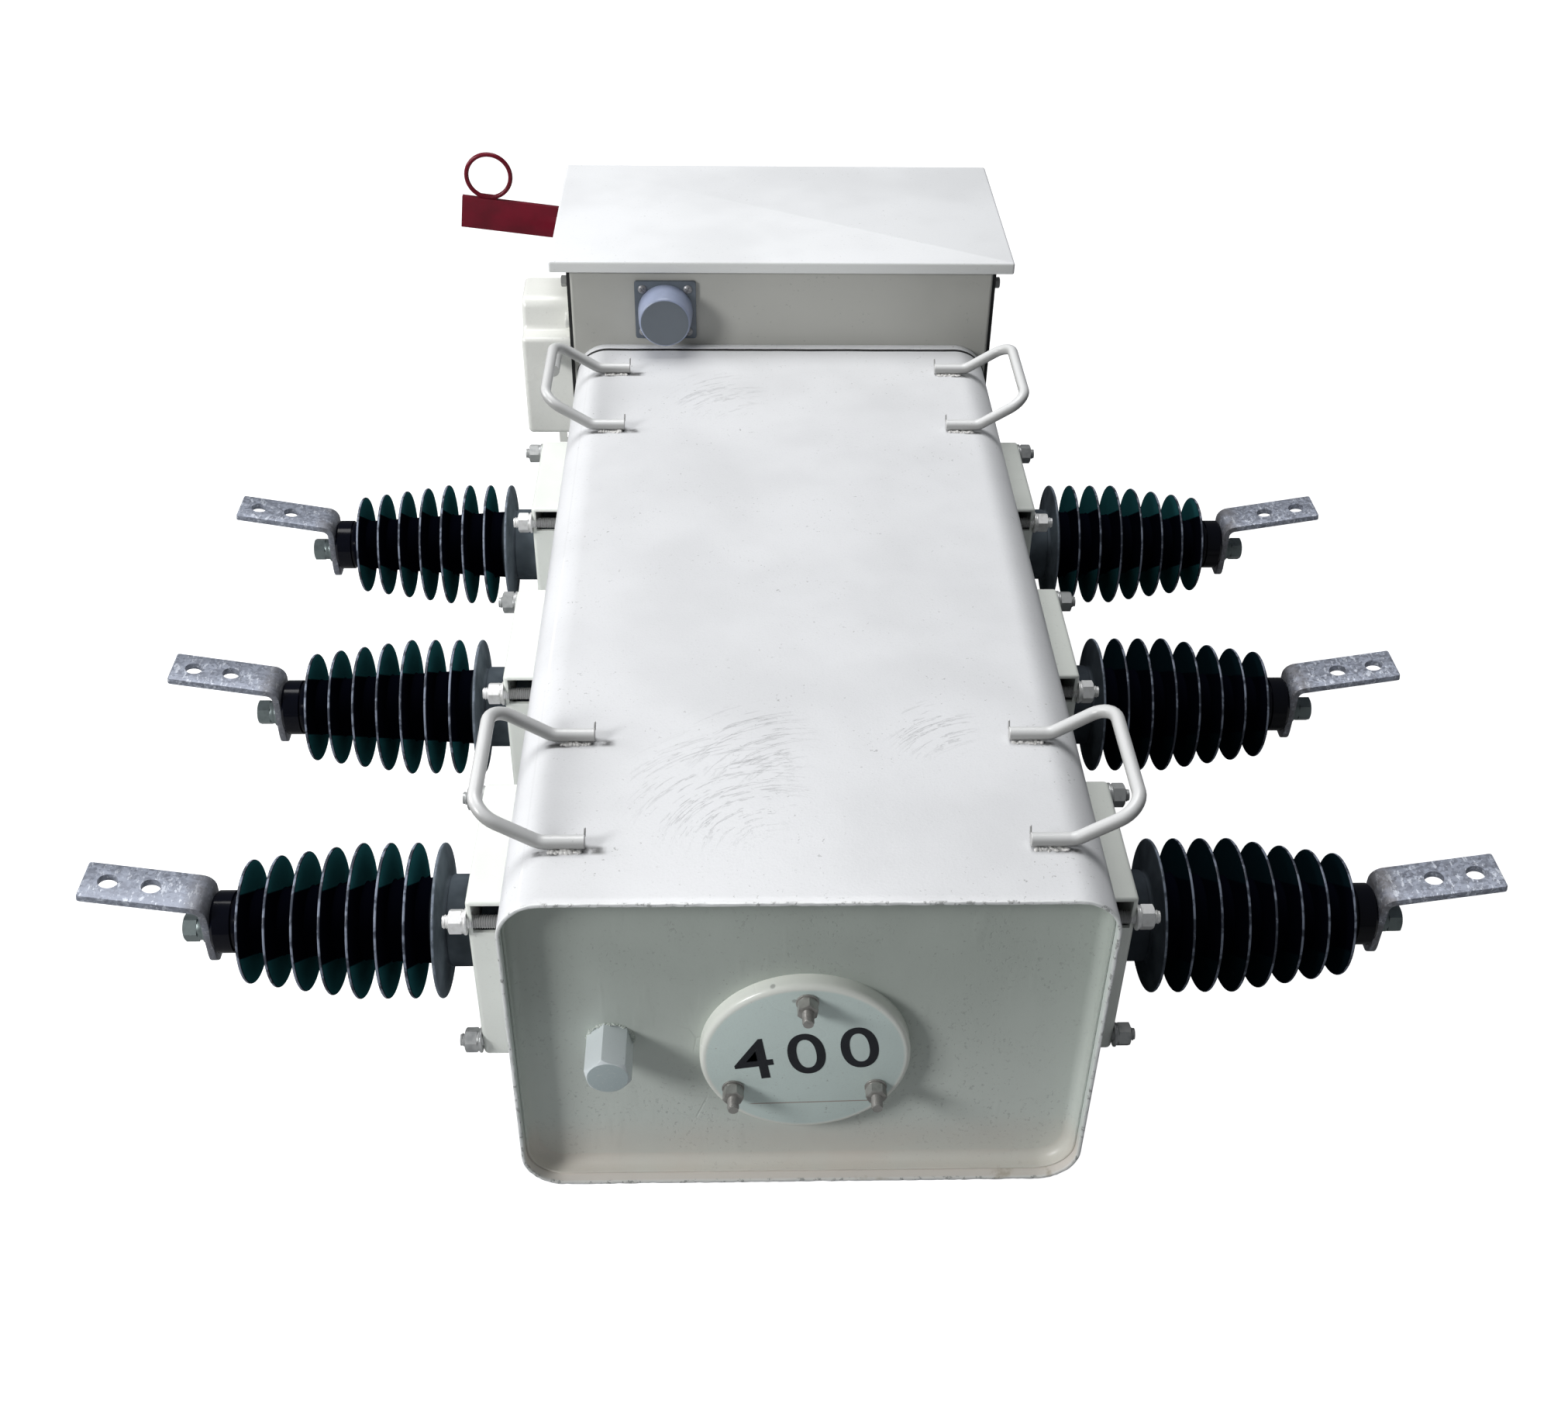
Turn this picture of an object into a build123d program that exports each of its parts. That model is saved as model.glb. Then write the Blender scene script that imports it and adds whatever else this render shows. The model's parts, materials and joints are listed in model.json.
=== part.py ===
# Pole-top gas insulated load-break switch: a sealed steel tank with three bushings a side,
# flat terminals, lifting handles, a mechanism box on the rear end and a hook-stick lever.
# Frame: X across the tank, -Y towards the recessed front end, +Y towards the mechanism
# box, Z up. Origin: bottom centre of the tank. Millimetres.
import os
from math import cos, radians, sin

from build123d import *

# Tank
tank_width = 420.0
tank_height = 294.0
tank_length = 820.0
tank_corner = 32.0
tank_wall = 3.0
end_plate_recess = 20.0
end_plate_thickness = 4.0
end_plate_rim = 12.0
end_plate_rim_wall = 2.0
end_plate_bend = 8.0
lip_rounding = 1.2
flange_thickness = 11.5
flange_gasket_thickness = 2.5
gasket_setback = 1.0
gasket_land = 14.0

# Round cover and hexagonal plug on the front end
cover_radius = 76.0
cover_thickness = 12.0
cover_edge = 4.0
cover_height = 131.0
cover_stud_ring_radius = 60.0
cover_stud_radius = 5.0
cover_stud_length = 21.0
plug_across_flats = 30.0
plug_length = 36.0
plug_from_side = 70.0
plug_height = 141.0
plug_turn = 13.0
plug_chamfer = 2.2
plug_face_inset = 0.5

# Bushings and the square clamps that hold them
bushing_height = 128.0
bushing_pitch = 272.0
bushing_middle = 17.0
clamp_length = 144.0
clamp_height = 158.0
clamp_standoff = 34.0
clamp_sheet = 3.0
clamp_bend = 8.0
clamp_inside_slope = 35.0
clamp_notch_height = 24.0
stud_spacing_along = 124.0
stud_spacing_up = 128.0
stud_radius = 5.0
stud_reach = 22.0
nut_across_flats = 17.0
nut_height = 8.5
washer_radius = 10.0
washer_thickness = 3.0
fit_clearance = 0.5
spigot_radius = 30.0
spigot_length = 20.0
bushing_flange_radius = 50.0
collar_radius = 36.0
collar_length = 26.0
shed_count = 8
shed_even_count = 4
shed_spacing = 21.25
shed_radius = 60.5
shed_step = 3.1
shed_root_half = 3.6
shed_rim_half = 1.5
core_radius = 34.0
core_end_radius = 23.0
tip_radius = 24.4
tip_length = 16.0
tip_chamfer = 2.5
tip_neck = 8.0
first_shed = 66.5

# Terminals
terminal_width = 38.0
terminal_thickness = 6.0
terminal_bend = 15.0
terminal_angle = 10.0
terminal_leg_below = 30.0
terminal_pad_rise = 31.0
terminal_reach = 92.0
terminal_corner = 2.0
terminal_leg_corner = 12.0
hole_radius = 7.5
hole_spacing = 32.0
hole_edge = 18.5
terminal_bolt_flats = 24.0
terminal_bolt_head = 10.0
terminal_washer_radius = 15.0
terminal_washer_thickness = 3.5

# Lifting handles
rod_radius = 5.0
handle_from_front = 114.0
handle_from_rear = 122.0
handle_span = 116.0
handle_foot_inset = 58.0
handle_bend_inset = 27.0
handle_overhang = 16.0
handle_rise = 27.0
handle_corner = 18.0
handle_foot_bend = 16.0

# Mechanism box on the rear end
box_side_margin = 6.5
box_above_tank = 88.5
box_depth = 238.0
box_bottom = 8.0
box_sheet = 2.0
front_plate_inset = 3.5
front_plate_thickness = 4.0
front_plate_bend = 3.0
box_gasket_thickness = 3.0
box_corner = 6.0
roof_side_overhang = 16.5
roof_front_overhang = 5.0
roof_rear_overhang = 13.0
roof_lip = 11.5
roof_sheet = 2.5
roof_corner = 8.0
roof_bend = 2.0

# Connector on the box front
connector_from_box_side = 99.0
connector_above_tank = 39.0
connector_square = 62.0
connector_flange_thickness = 4.0
connector_corner = 3.0
connector_cap_radius = 23.0
connector_cap_length = 30.0
connector_base_radius = 27.0
connector_base_length = 7.0
connector_cap_edge = 2.0

# Linkage housing on the left of the box
housing_width = 50.0
housing_front = 5.0
housing_below_box_top = 54.5
housing_height = 134.0
housing_ledge_depth = 22.0
housing_ledge_rise = 1.0
housing_riser_height = 30.0
housing_riser_depth = 6.0
housing_depth = 72.0
housing_bend = 5.0
housing_sheet = 2.0
side_plate_proud = 2.5
peg_radius = 5.5
peg_length = 40.0
peg_below_ledge = 17.0
peg_inset = 16.0
bracket_width = 18.0
bracket_height = 17.0
bracket_thickness = 4.0
bracket_notch_width = 8.0
bracket_notch_height = 9.0
bracket_margin = 2.0
boss_radius = 9.0
boss_length = 4.5
boss_from_gasket = 1.0
boss_above_ledge = 6.0

# Hook-stick lever behind the box
lever_below_box_top = 98.5
lever_angle = 7.0
lever_reach = 358.0
lever_bar_height = 36.0
lever_thickness = 6.0
lever_hub_radius = 24.0
lever_ring_radius = 24.5
lever_ring_rod = 2.5
lever_ring_inset = 28.0
lever_ring_sunk = 1.2
lever_weld_half = 11.0
lever_weld_height = 4.5
lever_weld_slope = 3.0
lever_weld_thickness = 3.5
lever_gap = 6.0
shaft_radius = 10.0
shaft_clearance = 0.3
shaft_depth = 16.0
shaft_head_radius = 14.0
shaft_head_length = 7.0
bearing_radius = 21.0
bearing_flange_radius = 32.0
bearing_flange_thickness = 5.0

# Places worked out from the sizes above
half_width = tank_width / 2
tank_front = -tank_length / 2
tank_rear = tank_length / 2
flange_front = tank_rear - flange_thickness
shell_rear = flange_front - flange_gasket_thickness
plate_front = tank_front + end_plate_recess
plate_back = plate_front + end_plate_thickness
inner_corner = tank_corner - tank_wall
front_plate_back = tank_rear + front_plate_thickness
cover_front = front_plate_back + box_gasket_thickness
box_rear = cover_front + box_depth
box_width = tank_width + 2 * box_side_margin
box_half = box_width / 2
box_top = tank_height + box_above_tank
roof_width = box_width + 2 * roof_side_overhang
plug_offset = half_width - plug_from_side
handle_front = tank_front + handle_from_front
handle_rear = tank_rear - handle_from_rear
handle_foot_start = half_width - handle_foot_inset
handle_foot_end = half_width - handle_bend_inset
handle_reach = half_width + handle_overhang
connector_offset = connector_from_box_side - box_half
connector_height = tank_height + connector_above_tank
housing_top = box_top - housing_below_box_top
housing_bottom = housing_top - housing_height
housing_ledge = housing_top - housing_riser_height
peg_height = housing_ledge - peg_below_ledge
lever_pivot_height = box_top - lever_below_box_top
clamp_face = half_width + clamp_standoff
shed_start = half_width + first_shed
last_shed = shed_start + (shed_count - 1) * shed_spacing
tip_start = last_shed + shed_root_half + tip_neck
tip_end = tip_start + tip_length
terminal_half = terminal_thickness / 2
bushing_stations = {
    "front": bushing_middle - bushing_pitch,
    "middle": bushing_middle,
    "rear": bushing_middle + bushing_pitch,
}
sides = {"left": -1, "right": 1}

os.makedirs("parts", exist_ok=True)


def write(piece, node):
    """Label a finished piece and write its STEP file."""
    piece.part.label = node
    export_step(piece.part, f"parts/{node}.step")


def section(side, along, height):
    """Upright plane across the tank: local x runs outwards, local y runs up."""
    return Plane(origin=(0, along, height), x_dir=(side, 0, 0), z_dir=(0, -side, 0))


def wall(side, reach, along, height):
    """Plane facing outwards at a distance from the middle of the tank."""
    return Plane(origin=(side * reach, along, height), x_dir=(0, side, 0), z_dir=(side, 0, 0))


def across(along, x=0.0, height=0.0):
    """Plane facing the front at a place along the tank: local x runs to the right."""
    return Plane(origin=(x, along, height), x_dir=(1, 0, 0), z_dir=(0, -1, 0))


# Tank shell: one bent sheet tube, open at the front, with holes for the bushing spigots
with BuildPart() as tank_shell:
    with BuildSketch(across(shell_rear, height=tank_height / 2)):
        RectangleRounded(tank_width, tank_height, tank_corner)
        RectangleRounded(
            tank_width - 2 * tank_wall,
            tank_height - 2 * tank_wall,
            inner_corner,
            mode=Mode.SUBTRACT,
        )
    extrude(amount=shell_rear - tank_front)
    for station in bushing_stations.values():
        with BuildSketch(wall(1, -half_width, station, bushing_height)):
            Circle(spigot_radius + fit_clearance)
        extrude(amount=tank_width, mode=Mode.SUBTRACT)
    fillet(tank_shell.faces().sort_by(Axis.Y)[0].edges(), lip_rounding)
write(tank_shell, "tank_shell")

# Front end plate: a pressed pan whose turned rim lies inside the tube, behind the lip
with BuildPart() as front_end_plate:
    with BuildSketch(across(plate_back, height=tank_height / 2)):
        RectangleRounded(
            tank_width - 2 * tank_wall, tank_height - 2 * tank_wall, inner_corner
        )
    extrude(amount=end_plate_thickness + end_plate_rim)
    with BuildSketch(across(plate_front, height=tank_height / 2)):
        RectangleRounded(
            tank_width - 2 * (tank_wall + end_plate_rim_wall),
            tank_height - 2 * (tank_wall + end_plate_rim_wall),
            inner_corner - end_plate_rim_wall,
        )
    extrude(amount=end_plate_rim, mode=Mode.SUBTRACT)
    pressed_face = front_end_plate.faces().filter_by(Axis.Y).sort_by(Axis.Y)[-2]
    fillet(pressed_face.edges(), end_plate_bend)
write(front_end_plate, "front_end_plate")

# Gasket and flange that close the rear end
with BuildPart() as flange_gasket:
    with BuildSketch(across(flange_front, height=tank_height / 2)):
        RectangleRounded(
            tank_width - 2 * gasket_setback,
            tank_height - 2 * gasket_setback,
            tank_corner - gasket_setback,
        )
        RectangleRounded(
            tank_width - 2 * gasket_land,
            tank_height - 2 * gasket_land,
            tank_corner - gasket_land,
            mode=Mode.SUBTRACT,
        )
    extrude(amount=flange_gasket_thickness)
write(flange_gasket, "flange_gasket")

with BuildPart() as rear_end_flange:
    with BuildSketch(across(tank_rear, height=tank_height / 2)):
        RectangleRounded(tank_width, tank_height, tank_corner)
    extrude(amount=flange_thickness)
write(rear_end_flange, "rear_end_flange")

# Round pressure-relief cover with a rounded edge, on three studs
with BuildPart() as relief_cover:
    with BuildSketch(across(plate_front, height=cover_height)):
        Circle(cover_radius)
    extrude(amount=cover_thickness)
    fillet(relief_cover.faces().sort_by(Axis.Y)[0].edges(), cover_edge)
write(relief_cover, "relief_cover")

with BuildPart() as cover_studs:
    with BuildSketch(across(plate_front - cover_thickness, height=cover_height)):
        with PolarLocations(cover_stud_ring_radius, 3, start_angle=90):
            Circle(washer_radius)
    extrude(amount=washer_thickness)
    with BuildSketch(
        across(plate_front - cover_thickness - washer_thickness, height=cover_height)
    ):
        with PolarLocations(cover_stud_ring_radius, 3, start_angle=90):
            RegularPolygon(nut_across_flats / 2, 6, major_radius=False)
    extrude(amount=nut_height)
    with BuildSketch(across(plate_front - cover_thickness, height=cover_height)):
        with PolarLocations(cover_stud_ring_radius, 3, start_angle=90):
            Circle(cover_stud_radius)
    extrude(amount=cover_stud_length)
write(cover_studs, "cover_studs")

# Hexagonal gas plug: a hexagon bar whose end face is turned to a round chamfer
with BuildPart() as filler_plug:
    with BuildSketch(across(plate_front, -plug_offset, plug_height)):
        RegularPolygon(
            plug_across_flats / 2, 6, major_radius=False, rotation=30 + plug_turn
        )
    extrude(amount=plug_length)
    with BuildSketch(
        Plane(
            origin=(-plug_offset, plate_front, plug_height),
            x_dir=(1, 0, 0),
            z_dir=(0, 0, 1),
        )
    ):
        with BuildLine():
            Polyline(
                (0, 0),
                (plug_across_flats, 0),
                (plug_across_flats, -plug_length + plug_chamfer),
                (
                    plug_across_flats / 2 / cos(radians(30)),
                    -plug_length + plug_chamfer,
                ),
                (plug_across_flats / 2 - plug_face_inset, -plug_length),
                (0, -plug_length),
                close=True,
            )
        make_face()
    revolve(
        axis=Axis((-plug_offset, 0, plug_height), (0, 1, 0)), mode=Mode.INTERSECT
    )
write(filler_plug, "filler_plug")


# One clamp: a square pan of folded sheet, open to the tank, notched at its top front
# corner, with a round hole for the bushing and four stud holes
def make_clamp(side, station, node):
    with BuildPart() as clamp:
        with BuildSketch(wall(side, half_width, station, bushing_height)):
            Rectangle(clamp_length, clamp_height)
        extrude(amount=clamp_standoff)
        outer_face = clamp.faces().sort_by(Axis.X)[-1 if side > 0 else 0]
        fillet(outer_face.edges(), clamp_bend)
        with BuildSketch(wall(side, half_width, station, bushing_height)):
            Rectangle(clamp_length - 2 * clamp_sheet, clamp_height - 2 * clamp_sheet)
        extrude(amount=clamp_standoff - clamp_bend, mode=Mode.SUBTRACT)
        with BuildSketch(
            wall(side, clamp_face - clamp_bend, station, bushing_height)
        ):
            Rectangle(clamp_length - 2 * clamp_sheet, clamp_height - 2 * clamp_sheet)
        extrude(
            amount=clamp_bend - clamp_sheet,
            taper=clamp_inside_slope,
            mode=Mode.SUBTRACT,
        )
        with BuildSketch(wall(side, half_width, station, bushing_height)):
            Circle(collar_radius + fit_clearance)
        extrude(amount=clamp_standoff, mode=Mode.SUBTRACT)
        with BuildSketch(wall(side, half_width, station, bushing_height)):
            with GridLocations(stud_spacing_along, stud_spacing_up, 2, 2):
                Circle(stud_radius + fit_clearance)
        extrude(amount=clamp_standoff, mode=Mode.SUBTRACT)
        notch_middle = clamp_height / 2 - clamp_sheet - clamp_notch_height / 2
        with BuildSketch(
            section(side, station - clamp_length / 2, bushing_height + notch_middle)
        ):
            with Locations((half_width + (clamp_standoff - clamp_bend) / 2, 0)):
                Rectangle(clamp_standoff - clamp_bend, clamp_notch_height)
        extrude(amount=clamp_sheet, both=True, mode=Mode.SUBTRACT)
    write(clamp, node)


# One bushing: a spigot in the tank wall, a flange under the clamp, a collar, eight thin
# sheds on a tapering core and the terminal tip, turned about its own axis
def make_bushing(side, station, node):
    core_length = tip_start - shed_start
    core_at = [
        core_radius + (core_end_radius - core_radius) * step * shed_spacing / core_length
        for step in range(shed_count)
    ]
    outline = [
        (half_width - spigot_length, 0),
        (half_width - spigot_length, spigot_radius),
        (half_width, spigot_radius),
        (half_width, bushing_flange_radius),
        (clamp_face - clamp_sheet, bushing_flange_radius),
        (clamp_face - clamp_sheet, collar_radius),
        (clamp_face + collar_length, collar_radius),
        (clamp_face + collar_length, core_radius),
    ]
    for step in range(shed_count):
        centre = shed_start + step * shed_spacing
        rim = shed_radius - shed_step * max(0, step + 1 - shed_even_count)
        outline += [
            (centre - shed_root_half, core_at[step]),
            (centre - shed_rim_half, rim),
            (centre + shed_rim_half, rim),
            (centre + shed_root_half, core_at[step]),
        ]
    outline += [
        (tip_start, core_end_radius),
        (tip_start, tip_radius),
        (tip_end - tip_chamfer, tip_radius),
        (tip_end, tip_radius - tip_chamfer),
        (tip_end, 0),
    ]
    with BuildPart() as bushing:
        with BuildSketch(section(side, station, bushing_height)):
            with BuildLine():
                Polyline(*outline, close=True)
            make_face()
        revolve(axis=Axis((0, station, bushing_height), (side, 0, 0)))
    write(bushing, node)


# One terminal: a flat bar bent up from the bushing's tip and out to a pad with two holes
def make_terminal(side, station, node):
    leg = tip_end + terminal_half
    turn = radians(terminal_angle)
    knee = terminal_pad_rise - terminal_half
    end = (leg + terminal_reach * cos(turn), knee + terminal_reach * sin(turn))
    with BuildPart() as terminal:
        with BuildSketch(section(side, station, bushing_height)):
            with BuildLine():
                FilletPolyline(
                    (leg, -terminal_leg_below), (leg, knee), end, radius=terminal_bend
                )
            trace(line_width=terminal_thickness)
        extrude(amount=terminal_width / 2, both=True)
        leg_corners = terminal.edges().filter_by(Axis.X)
        fillet(leg_corners, terminal_leg_corner)
        pad = Plane(
            origin=(side * end[0], station, bushing_height + end[1]),
            x_dir=(side * cos(turn), 0, sin(turn)),
            z_dir=(-side * sin(turn), 0, cos(turn)),
        )
        pad_corners = terminal.edges().filter_by(Axis(pad.origin, pad.z_dir))
        fillet(pad_corners, terminal_corner)
        with BuildSketch(pad):
            with Locations((-hole_edge, 0), (-hole_edge - hole_spacing, 0)):
                Circle(hole_radius)
        extrude(amount=terminal_thickness, both=True, mode=Mode.SUBTRACT)
    write(terminal, node)


# One lifting handle: a bent round rod whose two feet lie on the tank top
def make_handle(side, middle, node):
    foot = tank_height + rod_radius
    near = middle - handle_span / 2
    far = middle + handle_span / 2
    crest = foot + handle_rise
    with BuildPart() as handle:
        with BuildLine() as route:
            FilletPolyline(
                (side * handle_foot_start, near, foot),
                (side * handle_foot_end, near, foot),
                (side * handle_reach, near, crest),
                (side * handle_reach, far, crest),
                (side * handle_foot_end, far, foot),
                (side * handle_foot_start, far, foot),
                radius=(handle_foot_bend, handle_corner, handle_corner, handle_foot_bend),
            )
        with BuildSketch(Plane(origin=route.wire() @ 0, z_dir=route.wire() % 0)):
            Circle(rod_radius)
        sweep()
    write(handle, node)


for side_name, side in sides.items():
    for place, station in bushing_stations.items():
        make_clamp(side, station, f"clamp_{side_name}_{place}")
        make_bushing(side, station, f"bushing_{side_name}_{place}")
        make_terminal(side, station, f"terminal_{side_name}_{place}")
    make_handle(side, handle_front, f"handle_{side_name}_front")
    make_handle(side, handle_rear, f"handle_{side_name}_rear")

# Four studs at each clamp, welded to the tank, with washer and nut outside the pan
with BuildPart() as clamp_studs:
    for side in sides.values():
        for station in bushing_stations.values():
            with BuildSketch(wall(side, clamp_face, station, bushing_height)):
                with GridLocations(stud_spacing_along, stud_spacing_up, 2, 2):
                    Circle(washer_radius)
            extrude(amount=washer_thickness)
            with BuildSketch(
                wall(side, clamp_face + washer_thickness, station, bushing_height)
            ):
                with GridLocations(stud_spacing_along, stud_spacing_up, 2, 2):
                    RegularPolygon(nut_across_flats / 2, 6, major_radius=False)
            extrude(amount=nut_height)
            with BuildSketch(wall(side, half_width, station, bushing_height)):
                with GridLocations(stud_spacing_along, stud_spacing_up, 2, 2):
                    Circle(stud_radius)
            extrude(amount=clamp_standoff + stud_reach)
write(clamp_studs, "clamp_studs")

# Bolt and washer that hold each terminal on its tip
with BuildPart() as terminal_bolts:
    washer_face = tip_end + terminal_thickness
    for side in sides.values():
        for station in bushing_stations.values():
            with BuildSketch(wall(side, washer_face, station, bushing_height)):
                Circle(terminal_washer_radius)
            extrude(amount=terminal_washer_thickness)
            with BuildSketch(
                wall(
                    side,
                    washer_face + terminal_washer_thickness,
                    station,
                    bushing_height,
                )
            ):
                RegularPolygon(terminal_bolt_flats / 2, 6, major_radius=False)
            extrude(amount=terminal_bolt_head)
write(terminal_bolts, "terminal_bolts")

# Mechanism box: front plate, gasket, deep cover and overhanging roof
box_height = box_top - box_bottom
box_middle = (box_top + box_bottom) / 2
with BuildPart() as box_front_plate:
    with BuildSketch(across(front_plate_back, height=box_middle)):
        Rectangle(box_width - 2 * front_plate_inset, box_height)
    extrude(amount=front_plate_thickness)
    front_face = box_front_plate.faces().sort_by(Axis.Y)[0]
    fillet(front_face.edges().filter_by(Axis.Z), front_plate_bend)
write(box_front_plate, "box_front_plate")

with BuildPart() as box_gasket:
    with BuildSketch(across(cover_front, height=box_middle)):
        Rectangle(box_width, box_height)
        Rectangle(
            box_width - 2 * gasket_land, box_height - 2 * gasket_land, mode=Mode.SUBTRACT
        )
    extrude(amount=box_gasket_thickness)
write(box_gasket, "box_gasket")

with BuildPart() as box_cover:
    with BuildSketch(across(box_rear, height=box_middle)):
        Rectangle(box_width, box_height)
    extrude(amount=box_depth)
    rear_face = box_cover.faces().sort_by(Axis.Y)[-1]
    fillet(rear_face.edges().filter_by(Axis.Z), box_corner)
    with BuildSketch(across(box_rear - box_sheet, height=box_middle)):
        Rectangle(box_width - 2 * box_sheet, box_height - 2 * box_sheet)
    extrude(amount=box_depth - box_sheet, mode=Mode.SUBTRACT)
    with BuildSketch(across(box_rear, height=lever_pivot_height)):
        Circle(shaft_radius + shaft_clearance)
    extrude(amount=box_sheet, mode=Mode.SUBTRACT)
write(box_cover, "box_cover")

roof_front = tank_rear - roof_front_overhang
roof_rear = box_rear + roof_rear_overhang
roof_middle = (roof_front + roof_rear) / 2
lip_bottom = box_top + roof_sheet - roof_lip
with BuildPart() as box_roof:
    with BuildSketch(Plane(origin=(0, roof_middle, lip_bottom))):
        RectangleRounded(roof_width, roof_rear - roof_front, roof_corner)
    extrude(amount=roof_lip)
    fillet(box_roof.faces().sort_by(Axis.Z)[-1].edges(), roof_bend)
    with BuildSketch(Plane(origin=(0, roof_middle, lip_bottom))):
        RectangleRounded(
            roof_width - 2 * roof_sheet,
            roof_rear - roof_front - 2 * roof_sheet,
            roof_corner - roof_sheet,
        )
    extrude(amount=roof_lip - roof_sheet, mode=Mode.SUBTRACT)
write(box_roof, "box_roof")

# Connector: a square flange on the box front with a round cap
connector_front = tank_rear - connector_flange_thickness
with BuildPart() as connector_flange:
    with BuildSketch(across(tank_rear, connector_offset, connector_height)):
        RectangleRounded(connector_square, connector_square, connector_corner)
    extrude(amount=connector_flange_thickness)
write(connector_flange, "connector_flange")

with BuildPart() as connector_cap:
    with BuildSketch(across(connector_front, connector_offset, connector_height)):
        Circle(connector_base_radius)
    extrude(amount=connector_base_length)
    with BuildSketch(across(connector_front, connector_offset, connector_height)):
        Circle(connector_cap_radius)
    extrude(amount=connector_cap_length)
    chamfer(connector_cap.faces().sort_by(Axis.Y)[0].edges(), connector_cap_edge)
write(connector_cap, "connector_cap")

# Linkage housing: a folded cover with a stepped top, closed by a plate on its outer side
housing_inner = -box_half
housing_outer = housing_inner - housing_width
housing_start = tank_rear + housing_front
ledge_back = housing_start + housing_ledge_depth
riser_back = ledge_back + housing_riser_depth
housing_end = housing_start + housing_depth
housing_profile = [
    (housing_start, housing_bottom),
    (housing_start, housing_ledge),
    (ledge_back, housing_ledge + housing_ledge_rise),
    (riser_back, housing_top),
    (housing_end, housing_top),
    (housing_end, housing_bottom),
]
with BuildPart() as linkage_housing:
    side_plane = Plane(origin=(housing_inner, 0, 0), x_dir=(0, -1, 0), z_dir=(-1, 0, 0))
    with BuildSketch(side_plane):
        with BuildLine():
            Polyline(*[(-along, up) for along, up in housing_profile], close=True)
        make_face()
    extrude(amount=housing_width - housing_sheet)
    bends = linkage_housing.edges().filter_by(Axis.X)
    fillet(
        bends.filter_by(lambda bend: bend.center().Z > housing_bottom + housing_bend),
        housing_bend,
    )
    with BuildSketch(side_plane):
        with BuildLine():
            Polyline(*[(-along, up) for along, up in housing_profile], close=True)
        make_face()
        offset(amount=-housing_sheet, mode=Mode.REPLACE)
    extrude(amount=housing_width - housing_sheet, mode=Mode.SUBTRACT)
    with BuildSketch(side_plane.offset(housing_width - housing_sheet)):
        with BuildLine():
            Polyline(*[(-along, up) for along, up in housing_profile], close=True)
        make_face()
        offset(amount=side_plate_proud, kind=Kind.ARC)
    extrude(amount=housing_sheet)
write(linkage_housing, "linkage_housing")

with BuildPart() as housing_peg:
    with BuildSketch(across(housing_start, housing_inner - peg_inset, peg_height)):
        Circle(peg_radius)
    extrude(amount=peg_length)
write(housing_peg, "housing_peg")

with BuildPart() as housing_bracket:
    bracket_top = housing_bottom - bracket_height / 2
    with BuildSketch(
        across(housing_start + bracket_thickness, housing_inner - bracket_width / 2, bracket_top)
    ):
        Rectangle(bracket_width, bracket_height)
        with Locations((bracket_width / 2 - bracket_notch_width / 2 - bracket_margin, 0)):
            Rectangle(bracket_notch_width, bracket_notch_height, mode=Mode.SUBTRACT)
    extrude(amount=bracket_thickness)
write(housing_bracket, "housing_bracket")

with BuildPart() as shaft_boss:
    with BuildSketch(
        wall(
            -1,
            box_half,
            cover_front + boss_radius + boss_from_gasket,
            housing_ledge + boss_radius + boss_above_ledge,
        )
    ):
        Circle(boss_radius)
    extrude(amount=boss_length)
write(shaft_boss, "shaft_boss")

# Lever: bearing on the box, shaft, and a flat bar with a pull ring welded on its edge
lever_back = box_rear + roof_rear_overhang + lever_gap
with BuildPart() as lever_bearing:
    with BuildSketch(across(box_rear + bearing_flange_thickness, height=lever_pivot_height)):
        Circle(bearing_flange_radius)
        Circle(shaft_radius + shaft_clearance, mode=Mode.SUBTRACT)
    extrude(amount=bearing_flange_thickness)
    with BuildSketch(across(lever_back - shaft_clearance, height=lever_pivot_height)):
        Circle(bearing_radius)
        Circle(shaft_radius + shaft_clearance, mode=Mode.SUBTRACT)
    extrude(amount=lever_back - shaft_clearance - box_rear)
write(lever_bearing, "lever_bearing")

lever_rear = lever_back + lever_thickness
with BuildPart() as lever_shaft:
    with BuildSketch(across(lever_rear, height=lever_pivot_height)):
        Circle(shaft_radius)
    extrude(amount=lever_rear - box_rear + shaft_depth)
    with BuildSketch(across(lever_rear + shaft_head_length, height=lever_pivot_height)):
        Circle(shaft_head_radius)
    extrude(amount=shaft_head_length)
write(lever_shaft, "lever_shaft")

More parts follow.
